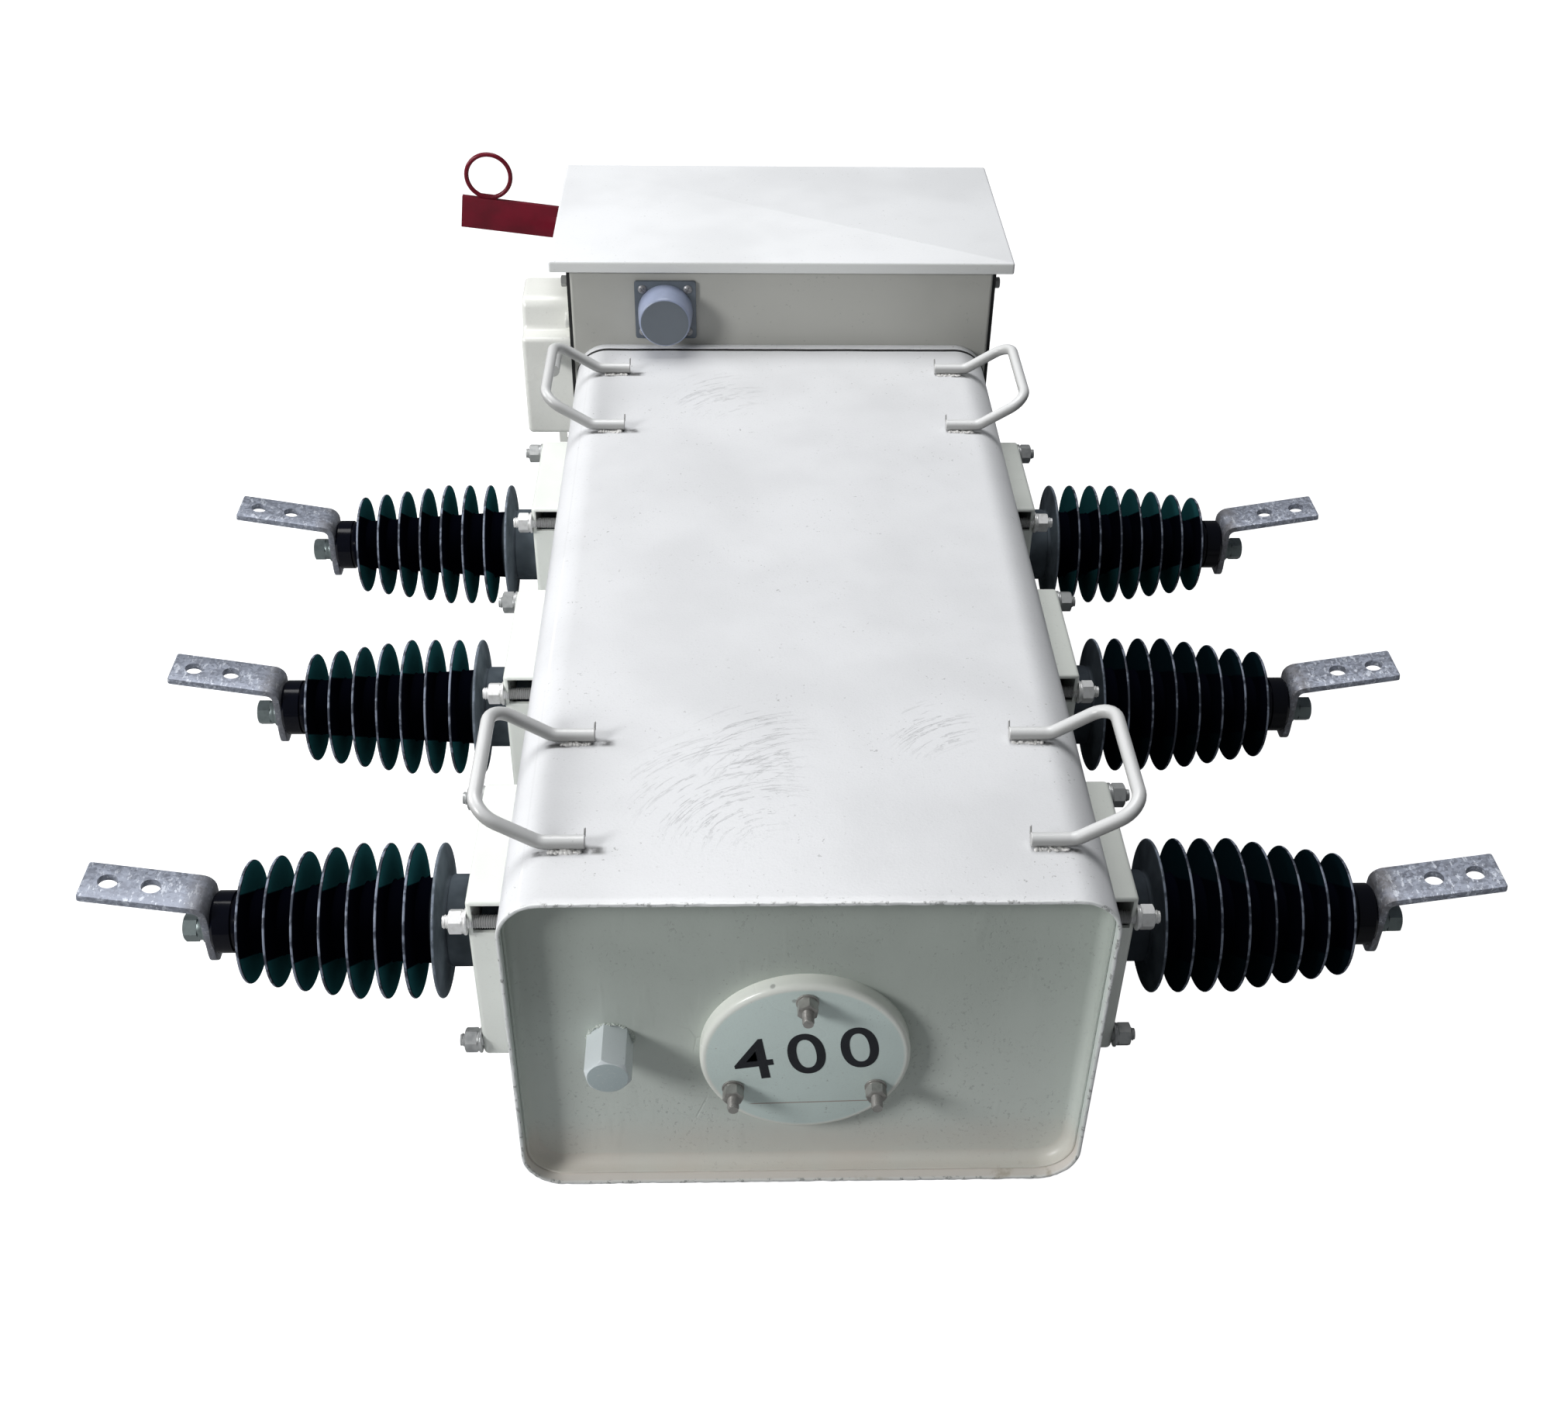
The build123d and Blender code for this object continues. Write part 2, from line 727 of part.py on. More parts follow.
tilt = radians(lever_angle)
bar_plane = Plane(
    origin=(0, lever_rear, lever_pivot_height),
    x_dir=(-cos(tilt), 0, sin(tilt)),
    z_dir=(0, 1, 0),
)
with BuildPart() as operating_lever:
    with BuildSketch(bar_plane):
        with Locations((lever_reach / 2, 0)):
            Rectangle(lever_reach, lever_bar_height)
        Circle(lever_hub_radius)
        Circle(shaft_radius, mode=Mode.SUBTRACT)
    extrude(amount=-lever_thickness)
    ring_along = lever_reach - lever_ring_inset
    bar_edge = lever_bar_height / 2
    ring_up = bar_edge + lever_ring_radius + lever_ring_rod - lever_ring_sunk
    ring_plane = bar_plane.offset(-lever_thickness / 2)
    with BuildSketch(ring_plane):
        with BuildLine():
            Polyline(
                (ring_along - lever_weld_half, bar_edge),
                (ring_along - lever_weld_half + lever_weld_slope, bar_edge + lever_weld_height),
                (ring_along + lever_weld_half - lever_weld_slope, bar_edge + lever_weld_height),
                (ring_along + lever_weld_half, bar_edge),
                close=True,
            )
        make_face()
    extrude(amount=lever_weld_thickness / 2, both=True)
    ring_centre = ring_plane.from_local_coords((ring_along, ring_up, 0))
    ring_start = ring_plane.from_local_coords((ring_along, ring_up + lever_ring_radius, 0))
    with BuildSketch(Plane(origin=ring_start, x_dir=(0, 1, 0), z_dir=bar_plane.x_dir)):
        Circle(lever_ring_rod)
    revolve(axis=Axis(ring_centre, (0, 1, 0)))
write(operating_lever, "operating_lever")
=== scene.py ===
# %% [markdown]
# # A gas insulated pole-top breaker
#
# The breaker is a sealed steel tank with three ribbed bushings on each side, flat terminals,
# four lifting handles, a mechanism box on its rear end and a red hook-stick lever.
# The construction comes in as a fixed frame. This lesson gives every piece its finish, and
# rebuilds the turned, bent and threaded pieces finely, each at the place the frame gives it.

# %% Load the frame
import json
import math

import bmesh
import bpy
from mathutils import Matrix, Vector, noise

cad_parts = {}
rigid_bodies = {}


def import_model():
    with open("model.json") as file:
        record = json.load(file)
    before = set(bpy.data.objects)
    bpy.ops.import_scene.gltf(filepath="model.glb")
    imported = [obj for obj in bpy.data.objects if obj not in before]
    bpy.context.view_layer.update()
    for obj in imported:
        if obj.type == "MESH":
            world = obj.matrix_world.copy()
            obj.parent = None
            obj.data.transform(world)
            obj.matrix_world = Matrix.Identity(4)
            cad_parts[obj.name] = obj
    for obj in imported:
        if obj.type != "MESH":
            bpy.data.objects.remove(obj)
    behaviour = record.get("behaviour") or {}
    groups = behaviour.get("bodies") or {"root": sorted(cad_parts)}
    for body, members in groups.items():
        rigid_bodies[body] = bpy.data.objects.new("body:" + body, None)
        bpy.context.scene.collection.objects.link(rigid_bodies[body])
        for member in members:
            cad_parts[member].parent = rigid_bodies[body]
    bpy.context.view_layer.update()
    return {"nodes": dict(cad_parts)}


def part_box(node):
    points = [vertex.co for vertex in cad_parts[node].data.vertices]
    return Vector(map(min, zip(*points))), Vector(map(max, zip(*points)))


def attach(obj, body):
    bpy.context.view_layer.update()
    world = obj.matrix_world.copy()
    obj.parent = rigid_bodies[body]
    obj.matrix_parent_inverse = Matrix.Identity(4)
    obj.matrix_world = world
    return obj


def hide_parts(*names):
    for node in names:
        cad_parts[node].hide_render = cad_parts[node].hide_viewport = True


for leftover in list(bpy.data.objects):
    bpy.data.objects.remove(leftover)
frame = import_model()
MM = 0.001
X, Y = Vector((1, 0, 0)), Vector((0, 1, 0))
SIDES = {"left": -1, "right": 1}
PLACES = ("front", "middle", "rear")


def measure(node):
    """The low and high corner of a node, in millimetres."""
    return [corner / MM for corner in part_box(node)]


def middle(node):
    low, high = measure(node)
    return (low + high) / 2


def linked(name, data):
    """A new object in the scene."""
    made = bpy.data.objects.new(name, data)
    bpy.context.scene.collection.objects.link(made)
    return made


# %% [markdown]
# ## Camera
#
# The photograph looks down on the front end from just left of the middle. A perspective fit
# of the tank rim gave the lens and the place. The angles are turned one after another, so
# each keeps its plain meaning: how far down, how far to the right, and how much roll.

# %% Camera
LENS = 39.975
CAMERA_PLACE = (-0.0523, -1.2344, 1.0974)
LOOK_DOWN, LOOK_RIGHT, ROLL = (math.radians(a) for a in (37.74, 2.19, 1.15))

camera = linked("camera", bpy.data.cameras.new("camera"))
camera.data.lens = LENS
camera.data.sensor_width = 36.0
camera.matrix_world = (
    Matrix.Translation(CAMERA_PLACE)
    @ Matrix.Rotation(-LOOK_RIGHT, 4, "Z")
    @ Matrix.Rotation(math.pi / 2 - LOOK_DOWN, 4, "X")
    @ Matrix.Rotation(ROLL, 4, "Z")
)
bpy.context.scene.camera = camera
bpy.context.scene.view_settings.view_transform = "Standard"
print("camera at", CAMERA_PLACE, "with a", LENS, "mm lens")

# %% [markdown]
# ## Node trees as written sums
#
# A node tree is easier to read as a sum than as a chain of boxes. `Signal` wraps one socket
# and overloads the operators, so `1 - mask * 0.3` adds its Math nodes by itself. Colours and
# vectors go through Mix and Vector Math, because a Math node would turn a colour grey.
# `Maker` adds any node from its type, its sockets and its settings. Materials and Geometry
# Nodes trees are both written with it.


# %% The signal, the maker and the look of a surface
class Signal:
    """One socket of a node tree, with arithmetic."""

    def __init__(self, maker, socket):
        self.maker = maker
        self.socket = socket

    def __abs__(self):
        return self.maker.maths("ABSOLUTE", self)

    def above(self, low, high):
        """A smooth step from 0 at low to 1 at high."""
        sockets = {"Value": self, "From Min": low, "From Max": high}
        return self.maker.node("MapRange", sockets, interpolation_type="SMOOTHSTEP")()

    def below(self, low, high):
        return 1 - self.above(low, high)

    def window(self, start, full, fading, end):
        """1 between full and fading, and 0 before the start and past the end."""
        return self.above(start, full) * self.below(fading, end)

    def near(self, centre, half, soft):
        """1 within half of a centre, fading over soft."""
        return abs(self - centre).below(half, half + soft)


def overload(name, operation):
    """Give Signal an operator and its reflected form."""
    setattr(Signal, f"__{name}__", lambda self, other: self.maker.maths(operation, self, other))
    setattr(Signal, f"__r{name}__", lambda self, other: self.maker.maths(operation, other, self))


for operator in (("add", "ADD"), ("sub", "SUBTRACT"), ("mul", "MULTIPLY"), ("truediv", "DIVIDE")):
    overload(*operator)


class Maker:
    """A node tree being written. Types without a family name belong to its own family."""

    family = "ShaderNode"

    def __init__(self, tree):
        self.tree = tree
        tree.nodes.clear()

    def node(self, kind, sockets=None, **settings):
        """Add a node, set it up, fill or join its sockets, and give a way to its outputs."""
        made = self.tree.nodes.new(kind if "Node" in kind else self.family + kind)
        for key, value in settings.items():
            setattr(made, key, value)
        for key, values in (sockets or {}).items():
            target = made.inputs[key]
            for value in values if isinstance(values, list) else [values]:
                if isinstance(value, Signal):
                    self.tree.links.new(value.socket, target)
                elif target.type == "RGBA":
                    target.default_value = (*value, 1)
                else:
                    target.default_value = value
        return lambda key=0: Signal(self, made.outputs[key])

    def maths(self, operation, *values):
        """A Math node, or Vector Math where a value is a vector."""
        vector = any(isinstance(v, Signal) and v.socket.type == "VECTOR" for v in values)
        kind = "ShaderNodeVectorMath" if vector else "ShaderNodeMath"
        return self.node(kind, dict(enumerate(values)), operation=operation)()

    def distance(self, first, second):
        """The length of an arm given by its two sides."""
        return self.maths("SQRT", first * first + second * second)


class Look(Maker):
    """A material being written, with x, y and z in millimetres."""

    def __init__(self, name):
        self.material = bpy.data.materials.new(name)
        self.material.use_nodes = True
        super().__init__(self.material.node_tree)
        self.place = self.node("TexCoord")("Object")
        split = self.node("SeparateXYZ", {"Vector": self.place})
        self.x, self.y, self.z = (split(axis) / MM for axis in "XYZ")

    def blend(self, factor, first, second):
        """Mix two colours: sockets 6, 7 and 2 are the Mix node's colours."""
        return self.node("Mix", {0: factor, 6: first, 7: second}, data_type="RGBA")(2)

    def noise(self, scale, detail=3.0, roughness=0.55, stretch=(1, 1, 1)):
        """Noise on object coordinates, scale in features a metre."""
        place = self.node("Mapping", {"Vector": self.place, "Scale": stretch})()
        sockets = {"Scale": scale, "Detail": detail, "Roughness": roughness, "Vector": place}
        return self.node("TexNoise", sockets)()

    def cells(self, scale, feature="F1"):
        """Distance inside Voronoi cells, and their colours."""
        return self.node("TexVoronoi", {"Scale": scale, "Vector": self.place}, feature=feature)

    def facing(self, axis):
        """How far the surface faces along an axis."""
        return self.node("SeparateXYZ", {"Vector": self.node("NewGeometry")("Normal")})(axis)

    def bump(self, height, distance):
        return self.node("Bump", {"Height": height, "Distance": distance * MM})("Normal")

    def finish(self, colour, rough, normal, metal=0.0, coat=0.0, coat_rough=0.1, specular=0.5):
        """Close the look with one Principled shader."""
        sockets = {
            "Base Color": colour, "Roughness": rough, "Metallic": metal, "Coat Weight": coat,
            "Coat Roughness": coat_rough, "Specular IOR Level": specular, "Normal": normal,
        }
        self.node("OutputMaterial", {"Surface": self.node("BsdfPrincipled", sockets)("BSDF")})
        return self.material


print("a look has", [name for name in vars(Look) if not name.startswith("_")])

# %% [markdown]
# ## Floor, background and lamps
#
# The breaker stands on a plain pale floor. A strong soft lamp above gives the bright tank
# top, a smaller one on the left front throws the short shadows to the right, one on the left
# lights the clamps, and a weak sky fills in.
# Light Path makes the floor and the background white for the camera alone, so that they
# throw no extra light on the front and the right side, which are in shade.

# %% Light and floor
WHITE = (1, 1, 1)
SKY_COLOUR, SKY_LIGHT = (0.93, 0.97, 1.0), 0.17
FLOOR_HALF, FLOOR_LEVEL, FLOOR_COLOUR = 6.0, -0.5 * MM, (0.34, 0.345, 0.35)
LAMPS = (  # name, place, target, size in metres, watts
    ("overhead", (-0.30, 0.75, 2.6), (0, 0.10, 0.2), 1.5, 40),
    ("left_front", (-2.2, -1.5, 1.55), (0, -0.2, 0.2), 0.75, 46),
    ("left", (-2.4, 0.5, 1.3), (0, 0.1, 0.2), 1.0, 27),
)


def make_world():
    world = bpy.data.worlds.new("studio")
    world.use_nodes = True
    maker = Maker(world.node_tree)
    path = maker.node("LightPath")
    seen = maker.maths("MAXIMUM", path("Is Camera Ray"), path("Is Transmission Ray"))
    sky = maker.node("Background", {"Color": SKY_COLOUR, "Strength": SKY_LIGHT})()
    white = maker.node("Background", {"Color": WHITE, "Strength": 1.0})()
    mixed = maker.node("MixShader", {0: seen, 1: sky, 2: white})()
    maker.node("OutputWorld", {"Surface": mixed})
    bpy.context.scene.world = world


def make_floor():
    mesh = bpy.data.meshes.new("floor")
    signs = ((-1, -1), (1, -1), (1, 1), (-1, 1))
    mesh.from_pydata([(x * FLOOR_HALF, y * FLOOR_HALF, 0) for x, y in signs], [], [(0, 1, 2, 3)])
    floor = linked("floor", mesh)
    floor.location.z = FLOOR_LEVEL
    look = Look("floor")
    path = look.node("LightPath")
    matt = look.node("BsdfDiffuse", {"Color": FLOOR_COLOUR})()
    glow = look.node("Emission", {"Color": WHITE, "Strength": 1.0})()
    both = look.node("AddShader", {0: matt, 1: glow})()
    seen = path("Is Camera Ray") + path("Is Transmission Ray")
    mixed = look.node("MixShader", {0: seen, 1: matt, 2: both})()
    look.node("OutputMaterial", {"Surface": mixed})
    mesh.materials.append(look.material)


def make_lamp(name, place, target, size, watts):
    """A square soft lamp that faces its target."""
    made = linked(name, bpy.data.lights.new(name, "AREA"))
    made.data.size, made.data.energy = size, watts
    made.location = place
    made.rotation_euler = (Vector(target) - Vector(place)).to_track_quat("-Z", "Y").to_euler()


make_world()
make_floor()
for lamp in LAMPS:
    make_lamp(*lamp)
print("world, floor and", len(LAMPS), "lamps are set")

# %% [markdown]
# ## Mesh helpers
#
# A few helpers make most pieces. Some give points: an arc, a rectangle with round corners,
# and a route whose corners are arcs. Others make the mesh: a skin over rings of points, a
# round bar along a route, and a copy of a piece of the frame with its sharp edges rounded.

# %% Helpers for outlines
def arc(x, y, radius, first=0, turn=90, steps=4):
    """Points of an arc about (x, y), from the angle first, in degrees."""
    angles = [math.radians(first + turn * step / steps) for step in range(steps + 1)]
    return [(x + math.cos(a) * radius, y + math.sin(a) * radius) for a in angles]


def round_corners(left, right, foot, top, radius, steps):
    """Points of a rectangle with round corners, from its right side on."""
    left, right, foot, top = left + radius, right - radius, foot + radius, top - radius
    centres = enumerate(((right, top), (left, top), (left, foot), (right, foot)))
    arcs = [arc(x, y, radius, 90 * index, steps=steps) for index, (x, y) in centres]
    return [point for points in arcs for point in points]


def between(start, end, steps):
    """Evenly spaced points inside a straight run."""
    return [tuple(Vector(start).lerp(Vector(end), s / steps)) for s in range(1, steps)]


def fillet(fold, steps):
    """How far a soft edge draws back along and across, at even steps round it."""
    return [(fold * (1 - sine), fold * (1 - cosine)) for cosine, sine in arc(0, 0, 1, steps=steps)]


def headings(points, closed=False):
    """The direction of a route at each of its points."""
    ends = (points[-1], points[0]) if closed else (points[0], points[-1])
    padded = [ends[0], *points, ends[1]]
    return [(after - before).normalized() for before, after in zip(padded, padded[2:])]


def rounded(corners, radii, steps):
    """Points of an open route whose inner corners are arcs of the given radii."""
    points = [corners[0]]
    for before, corner, after, radius in zip(corners, corners[1:], corners[2:], radii):
        back, ahead = before - corner, after - corner
        turn = math.pi - back.angle(ahead)
        reach = min(radius * math.tan(turn / 2), back.length * 0.499, ahead.length * 0.499)
        radius = reach / math.tan(turn / 2)
        inward = (back.normalized() + ahead.normalized()).normalized()
        centre = corner + inward * (radius / math.cos(turn / 2))
        arm, normal = corner + back.normalized() * reach - centre, back.cross(ahead).normalized()
        for step in range(steps + 1):
            points.append(centre + Matrix.Rotation(-turn * step / steps, 3, normal) @ arm)
    return points + [corners[-1]]


def sided(point, way):
    """A point in millimetres, mirrored where way is -1, as a place in metres."""
    return Vector((way * point[0], point[1], point[2])) * MM


# %% Helpers for skins, bars and pieces
SMOOTH_BELOW, SHARP_ABOVE, FLAT_BELOW = (math.radians(a) for a in (32, 25, 0.6))
SAME_PLACE = 1e-6
BROKEN = 0.4 * MM


def piece(name, mesh, material, node=None, body="root"):
    """Put a mesh into the scene as a finished piece that rides on a body."""
    mesh.materials.clear()
    mesh.materials.append(material)
    mesh.polygons.foreach_set("use_smooth", [True] * len(mesh.polygons))
    mesh.set_sharp_from_angle(angle=SMOOTH_BELOW)
    made = linked(name, mesh)
    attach(made, body)
    if node:
        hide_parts(node)


def dress(node, material):
    """Give a piece of the frame its finish and keep its shape."""
    made = frame["nodes"][node]
    made.data.materials.clear()
    made.data.materials.append(material)


def flattened(holder, *others):
    """The plain mesh that a throwaway object ends up with."""
    depsgraph = bpy.context.evaluated_depsgraph_get()
    mesh = bpy.data.meshes.new_from_object(holder.evaluated_get(depsgraph))
    for used in (holder, *others):
        bpy.data.objects.remove(used)
    return mesh


def from_bmesh(name, shape):
    """Turn an edit mesh into a mesh whose faces point outwards."""
    bmesh.ops.remove_doubles(shape, verts=shape.verts, dist=SAME_PLACE)
    bmesh.ops.recalc_face_normals(shape, faces=shape.faces)
    mesh = bpy.data.meshes.new(name)
    shape.to_mesh(mesh)
    shape.free()
    return mesh


def lattice(rings, loop, kept=lambda ring, step: True):
    """Join closed rings of equally many points, and return the edit mesh and its corners."""
    shape = bmesh.new()
    grid = [[shape.verts.new(point) for point in ring] for ring in rings]
    for index, (low, high) in enumerate(zip(grid, grid[1:] + grid[:1] if loop else grid[1:])):
        for step in range(len(low)):
            after = (step + 1) % len(low)
            if kept(index, step):
                shape.faces.new((low[step], low[after], high[after], high[step]))
    return shape, grid


def skin(name, rings, loop=False):
    """A skin over rings, closed at both ends or joined into a loop."""
    shape, grid = lattice(rings, loop)
    if not loop:
        shape.faces.new(reversed(grid[0]))
        shape.faces.new(grid[-1])
    return from_bmesh(name, shape)


def bar(name, route, radius, segments):
    """A round bar along a route in metres, with flat ends whose edges are just broken."""
    heading = headings(route)
    inner = [route[0] + heading[0] * BROKEN, *route[1:-1], route[-1] - heading[-1] * BROKEN]
    places = [route[0], *inner, route[-1]]
    sizes = [radius - BROKEN] + [radius] * len(inner) + [radius - BROKEN]
    across = heading[0].orthogonal()
    rings = []
    for place, size, along in zip(places, sizes, headings(places)):
        across = (across - along * across.dot(along)).normalized()
        upward = along.cross(across)
        circle = arc(0, 0, size, turn=360, steps=segments)[:-1]
        rings.append([place + across * a + upward * b for a, b in circle])
    return skin(name, rings)


def softened(name, node, rounding, material, body="root", steps=2):
    """A piece with a node's own shape as one skin, its sharp edges rounded."""
    shape = bmesh.new()
    shape.from_mesh(frame["nodes"][node].data)
    bmesh.ops.remove_doubles(shape, verts=shape.verts, dist=2 * SAME_PLACE)
    bmesh.ops.dissolve_limit(shape, angle_limit=FLAT_BELOW, verts=shape.verts, edges=shape.edges)
    sharp = [e for e in shape.edges if e.is_manifold and e.calc_face_angle(0) > SHARP_ABOVE]
    bmesh.ops.bevel(
        shape, geom=sharp, offset=rounding * MM, offset_type="OFFSET", segments=steps,
        profile=0.5, affect="EDGES", clamp_overlap=True,
    )
    mesh = bpy.data.meshes.new(node)
    shape.to_mesh(mesh)
    shape.free()
    piece(name, mesh, material, node, body)


print("edges sharper than", round(math.degrees(SHARP_ABOVE)), "degrees are rounded")

# %% [markdown]
# ## Paint
#
# The tank, clamps, handles and box share one off-white enamel. Its detail is the same
# everywhere: a fine orange peel, small dark specks of dirt, and a slow drift of tone. Each
# place then adds its own wear, and some places add painted shade or a painted highlight, so
# the paint is one function with a few extra masks. The recess and the box front take darker
# copies of the enamel, as painted shade.


# %% Paint
def paint(name, colour, wear=None, rough=0.34, peel=0.22, specks=1.0, coat=0.15):
    """Off-white enamel. wear may change the colour and add to the height; in some places it paints
    shade or a highlight as well.
    """
    look = Look(name)
    drift = look.noise(7.0)
    grain = look.noise(520.0, 2.0)
    dirt = look.noise(260.0, 3.0, 0.7)
    tone = look.blend(drift.above(0.35, 0.7), colour, tuple(c * 0.90 for c in colour))
    speck = dirt.above(0.655, 0.70) * look.noise(16.0).above(0.42, 0.62) * (0.5 * specks)
    tone = look.blend(speck, tone, (0.20, 0.20, 0.19))
    tone = look.blend(grain.above(0.52, 0.75) * 0.10 * specks, tone, (0.42, 0.42, 0.40))
    height = look.noise(95.0, 2.0) * 0.4 + grain * 0.34 - speck * 0.5
    if wear:
        tone, height = wear(look, tone, height)
    gloss = drift * 0.12 + (rough - 0.06) + speck * 0.3
    return look.finish(tone, gloss, look.bump(height, peel), coat=coat, coat_rough=0.3)


# Places in this cell are in millimetres, on the frame's own axes.
LIP_FRONT = measure("tank_shell")[0].y
TANK_HALF, _, TANK_TOP = measure("tank_shell")[1]
PAN_BEND, PAN_DEPTH = 8.0, 12.0
PAN_FACE = measure("front_end_plate")[0].y + PAN_DEPTH
COVER_LOW, COVER_HIGH = measure("relief_cover")
HANDLES = [measure(f"handle_left_{place}") for place in ("front", "rear")]
FEET = [y for low, high in HANDLES for y in (low.y + 5, high.y - 5)]
FOOT_END = HANDLES[0][1].x
RUBBED = (  # middle x, middle y, reach, soft band, all in millimetres
    (-64, -290, 84, 26), (-40, -240, 66, 20), (96, -225, 46, 14), (-66, 300, 60, 22),
)
SWING = (46, -78)  # from a rubbed place to the middle of its arcs
# Where the painted highlight line on the left bend of the tank top runs, and where it fades out
# towards the rear.
BEND_HIGHLIGHT_OFFSET, BEND_HIGHLIGHT_FADE = 193.0, (-60, 60)
HANDLE_CORNER, SCRATCH_LEVEL = 178.0, 84.0
STAIN_FOOT, LINING_DEPTH = (24, 60), 22
# The second colour is the painted shadow at the handle feet.
DUST_GREY, FOOT_SHADOW_GREY = (0.28, 0.28, 0.28), (0.07, 0.07, 0.07)
LINING, LINING_FOOT = (0.72, 0.78, 0.74), (0.80, 0.75, 0.69)


def scratches(look):
    """Fine arcs where something heavy was turned on the tank top."""
    rub = 0.0
    for x, y, reach, band in RUBBED:
        arm_x, arm_y = look.x - (x + SWING[0]), look.y - (y + SWING[1])
        angle = look.maths("ARCTAN2", arm_y, arm_x)
        sockets = {"X": look.distance(arm_x, arm_y), "Y": angle * 6.0, "Z": float(y)}
        polar = look.node("CombineXYZ", sockets)()
        sockets = {"Vector": polar, "Scale": 0.26, "Detail": 3.0, "Roughness": 0.75}
        streaks = look.node("TexNoise", sockets)()
        spread = look.distance(look.x - x, look.y - y)
        rub = streaks.near(0.585, 0.006, 0.014) * spread.below(band, reach) + rub
    return rub


def tank_wear(look, tone, height):
    """Scratches, a painted highlight line and painted shadows at the handle feet on the top; a
    chipped lip and stains inside it.
    """
    up = look.z.above(TANK_TOP - 5, TANK_TOP - 4)
    rub = scratches(look)
    tone = look.blend(rub * up * 0.34, tone, DUST_GREY)
    # Painted shadow: dark patches on the tank top where each handle bends up, and just past the
    # inner end of each left-hand foot, stand in for the shadows the feet throw.
    foot_shadow = 0.0
    for y in FEET:
        bent = abs(look.x).near(HANDLE_CORNER, 5.0, 7.0) * look.y.near(y - 6.2, 1.2, 2.4)
        tip = look.x.near(FOOT_END + 5.0, 4.0, 8.0) * look.y.near(y - 3.2, 1.6, 4.0)
        foot_shadow = bent + tip + foot_shadow
    foot_shadow_breakup = look.noise(120.0).above(0.20, 0.60)
    tone = look.blend(foot_shadow * up * foot_shadow_breakup * 0.9, tone, FOOT_SHADOW_GREY)
    # Painted highlight: a broken white line along the left bend of the tank top, with a thin line
    # of painted shade just outside it.
    bend_highlight = (look.x + look.noise(6.0) * 1.5).near(-BEND_HIGHLIGHT_OFFSET, 0.5, 0.7) * up
    bend_highlight = bend_highlight * look.noise(9.0).above(0.42, 0.60) * look.y.below(*BEND_HIGHLIGHT_FADE)
    tone = look.blend(bend_highlight, tone, WHITE)
    bend_highlight_edge_shade = look.x.near(-BEND_HIGHLIGHT_OFFSET - 2.5, 0.8, 2.0) * up
    tone = look.blend(bend_highlight_edge_shade * 0.20, tone, (0.40, 0.40, 0.40))
    edge = look.y.below(LIP_FRONT + 1.0, LIP_FRONT + 2.6)
    chips = edge * look.noise(170.0, 4.0, 0.7).above(0.55, 0.62)
    inward = look.facing("X") * look.x + look.facing("Z") * (look.z - TANK_TOP / 2)
    deep = LIP_FRONT + LINING_DEPTH
    within = inward.below(-60, -10) * look.y.below(deep, deep + 2)
    foot = look.z.below(*STAIN_FOOT)
    tone = look.blend(within * 0.9, tone, look.blend(foot, LINING, LINING_FOOT))
    tone = look.blend(edge * 0.55, tone, (0.86, 0.88, 0.87))
    tone = look.blend(chips * 0.75, tone, (0.30, 0.31, 0.30))
    stain = look.noise(38.0, 4.0, 0.6).above(0.50, 0.62) * look.x.above(20, 60)
    tone = look.blend(within * foot * stain * 0.5, tone, (0.36, 0.30, 0.20))
    shaded = look.x.above(TANK_HALF - 1, TANK_HALF - 0.2)
    tone = look.blend(shaded * 0.25, tone, (0.45, 0.44, 0.41))
    return tone, height - rub * up * 0.5 + chips * 0.8


def pan_wear(look, tone, height):
    """Paint runs, fine cracks, pits and a grey film inside the recess; painted shade makes its
    upper part darker than its foot.
    """
    film = look.noise(9.0, 3.0, 0.6, (1.0, 1.0, 0.35)).above(0.35, 0.7)
    tone = look.blend(film * 0.35, tone, (0.40, 0.44, 0.40))
    crack = look.cells(42.0, "DISTANCE_TO_EDGE")("Distance").below(0.012, 0.03)
    crack = crack * look.noise(11.0, 2.0).above(0.60, 0.68)
    tone = look.blend(crack * 0.35, tone, (0.26, 0.28, 0.26))
    dribble = look.noise(60.0, 2.0, 0.5, (1.0, 1.0, 0.18)).above(0.6, 0.75)
    # Painted light and shade: the recess grows lighter towards its foot and darker under the top
    # lip.
    tone = look.blend(look.z.below(20, 235) * 0.75, tone, (0.80, 0.85, 0.80))
    pitted = look.noise(330.0, 2.0, 0.6).above(0.60, 0.70)
    pitted = pitted * look.noise(14.0, 2.0).above(0.40, 0.60)
    tone = look.blend(pitted * 0.35, tone, (0.30, 0.32, 0.31))
    bend = look.y.below(PAN_FACE - 0.4, PAN_FACE + 0.6) * look.z.below(*STAIN_FOOT)
    smear = look.noise(20.0).above(0.3, 0.65)
    tone = look.blend(bend * (smear * 0.25 + 0.55), tone, (0.74, 0.68, 0.61))
    return tone, height + dribble * 0.6 - crack * 0.6 - pitted * 0.5


def cover_wear(look, tone, height):
    """A thin rust-brown scratch under the figures, a creamy edge and a few grey dots."""
    centre = (COVER_LOW + COVER_HIGH) / 2
    out = look.distance(look.x - centre.x, look.z - centre.z)
    rim = COVER_HIGH.x - centre.x
    tone = look.blend(out.above(rim - 6, rim - 3) * 0.75, tone, (0.94, 0.93, 0.86))
    line = (look.z - look.x * 0.03).near(SCRATCH_LEVEL, 0.25, 0.5)
    line = line * look.x.window(-42, -36, 48, 55)
    tone = look.blend(line * 0.75, tone, (0.30, 0.16, 0.12))
    dots = look.cells(40.0)("Distance").below(0.05, 0.10) * look.noise(14.0).above(0.5, 0.56)
    return look.blend(dots * 0.6, tone, (0.25, 0.26, 0.25)), height


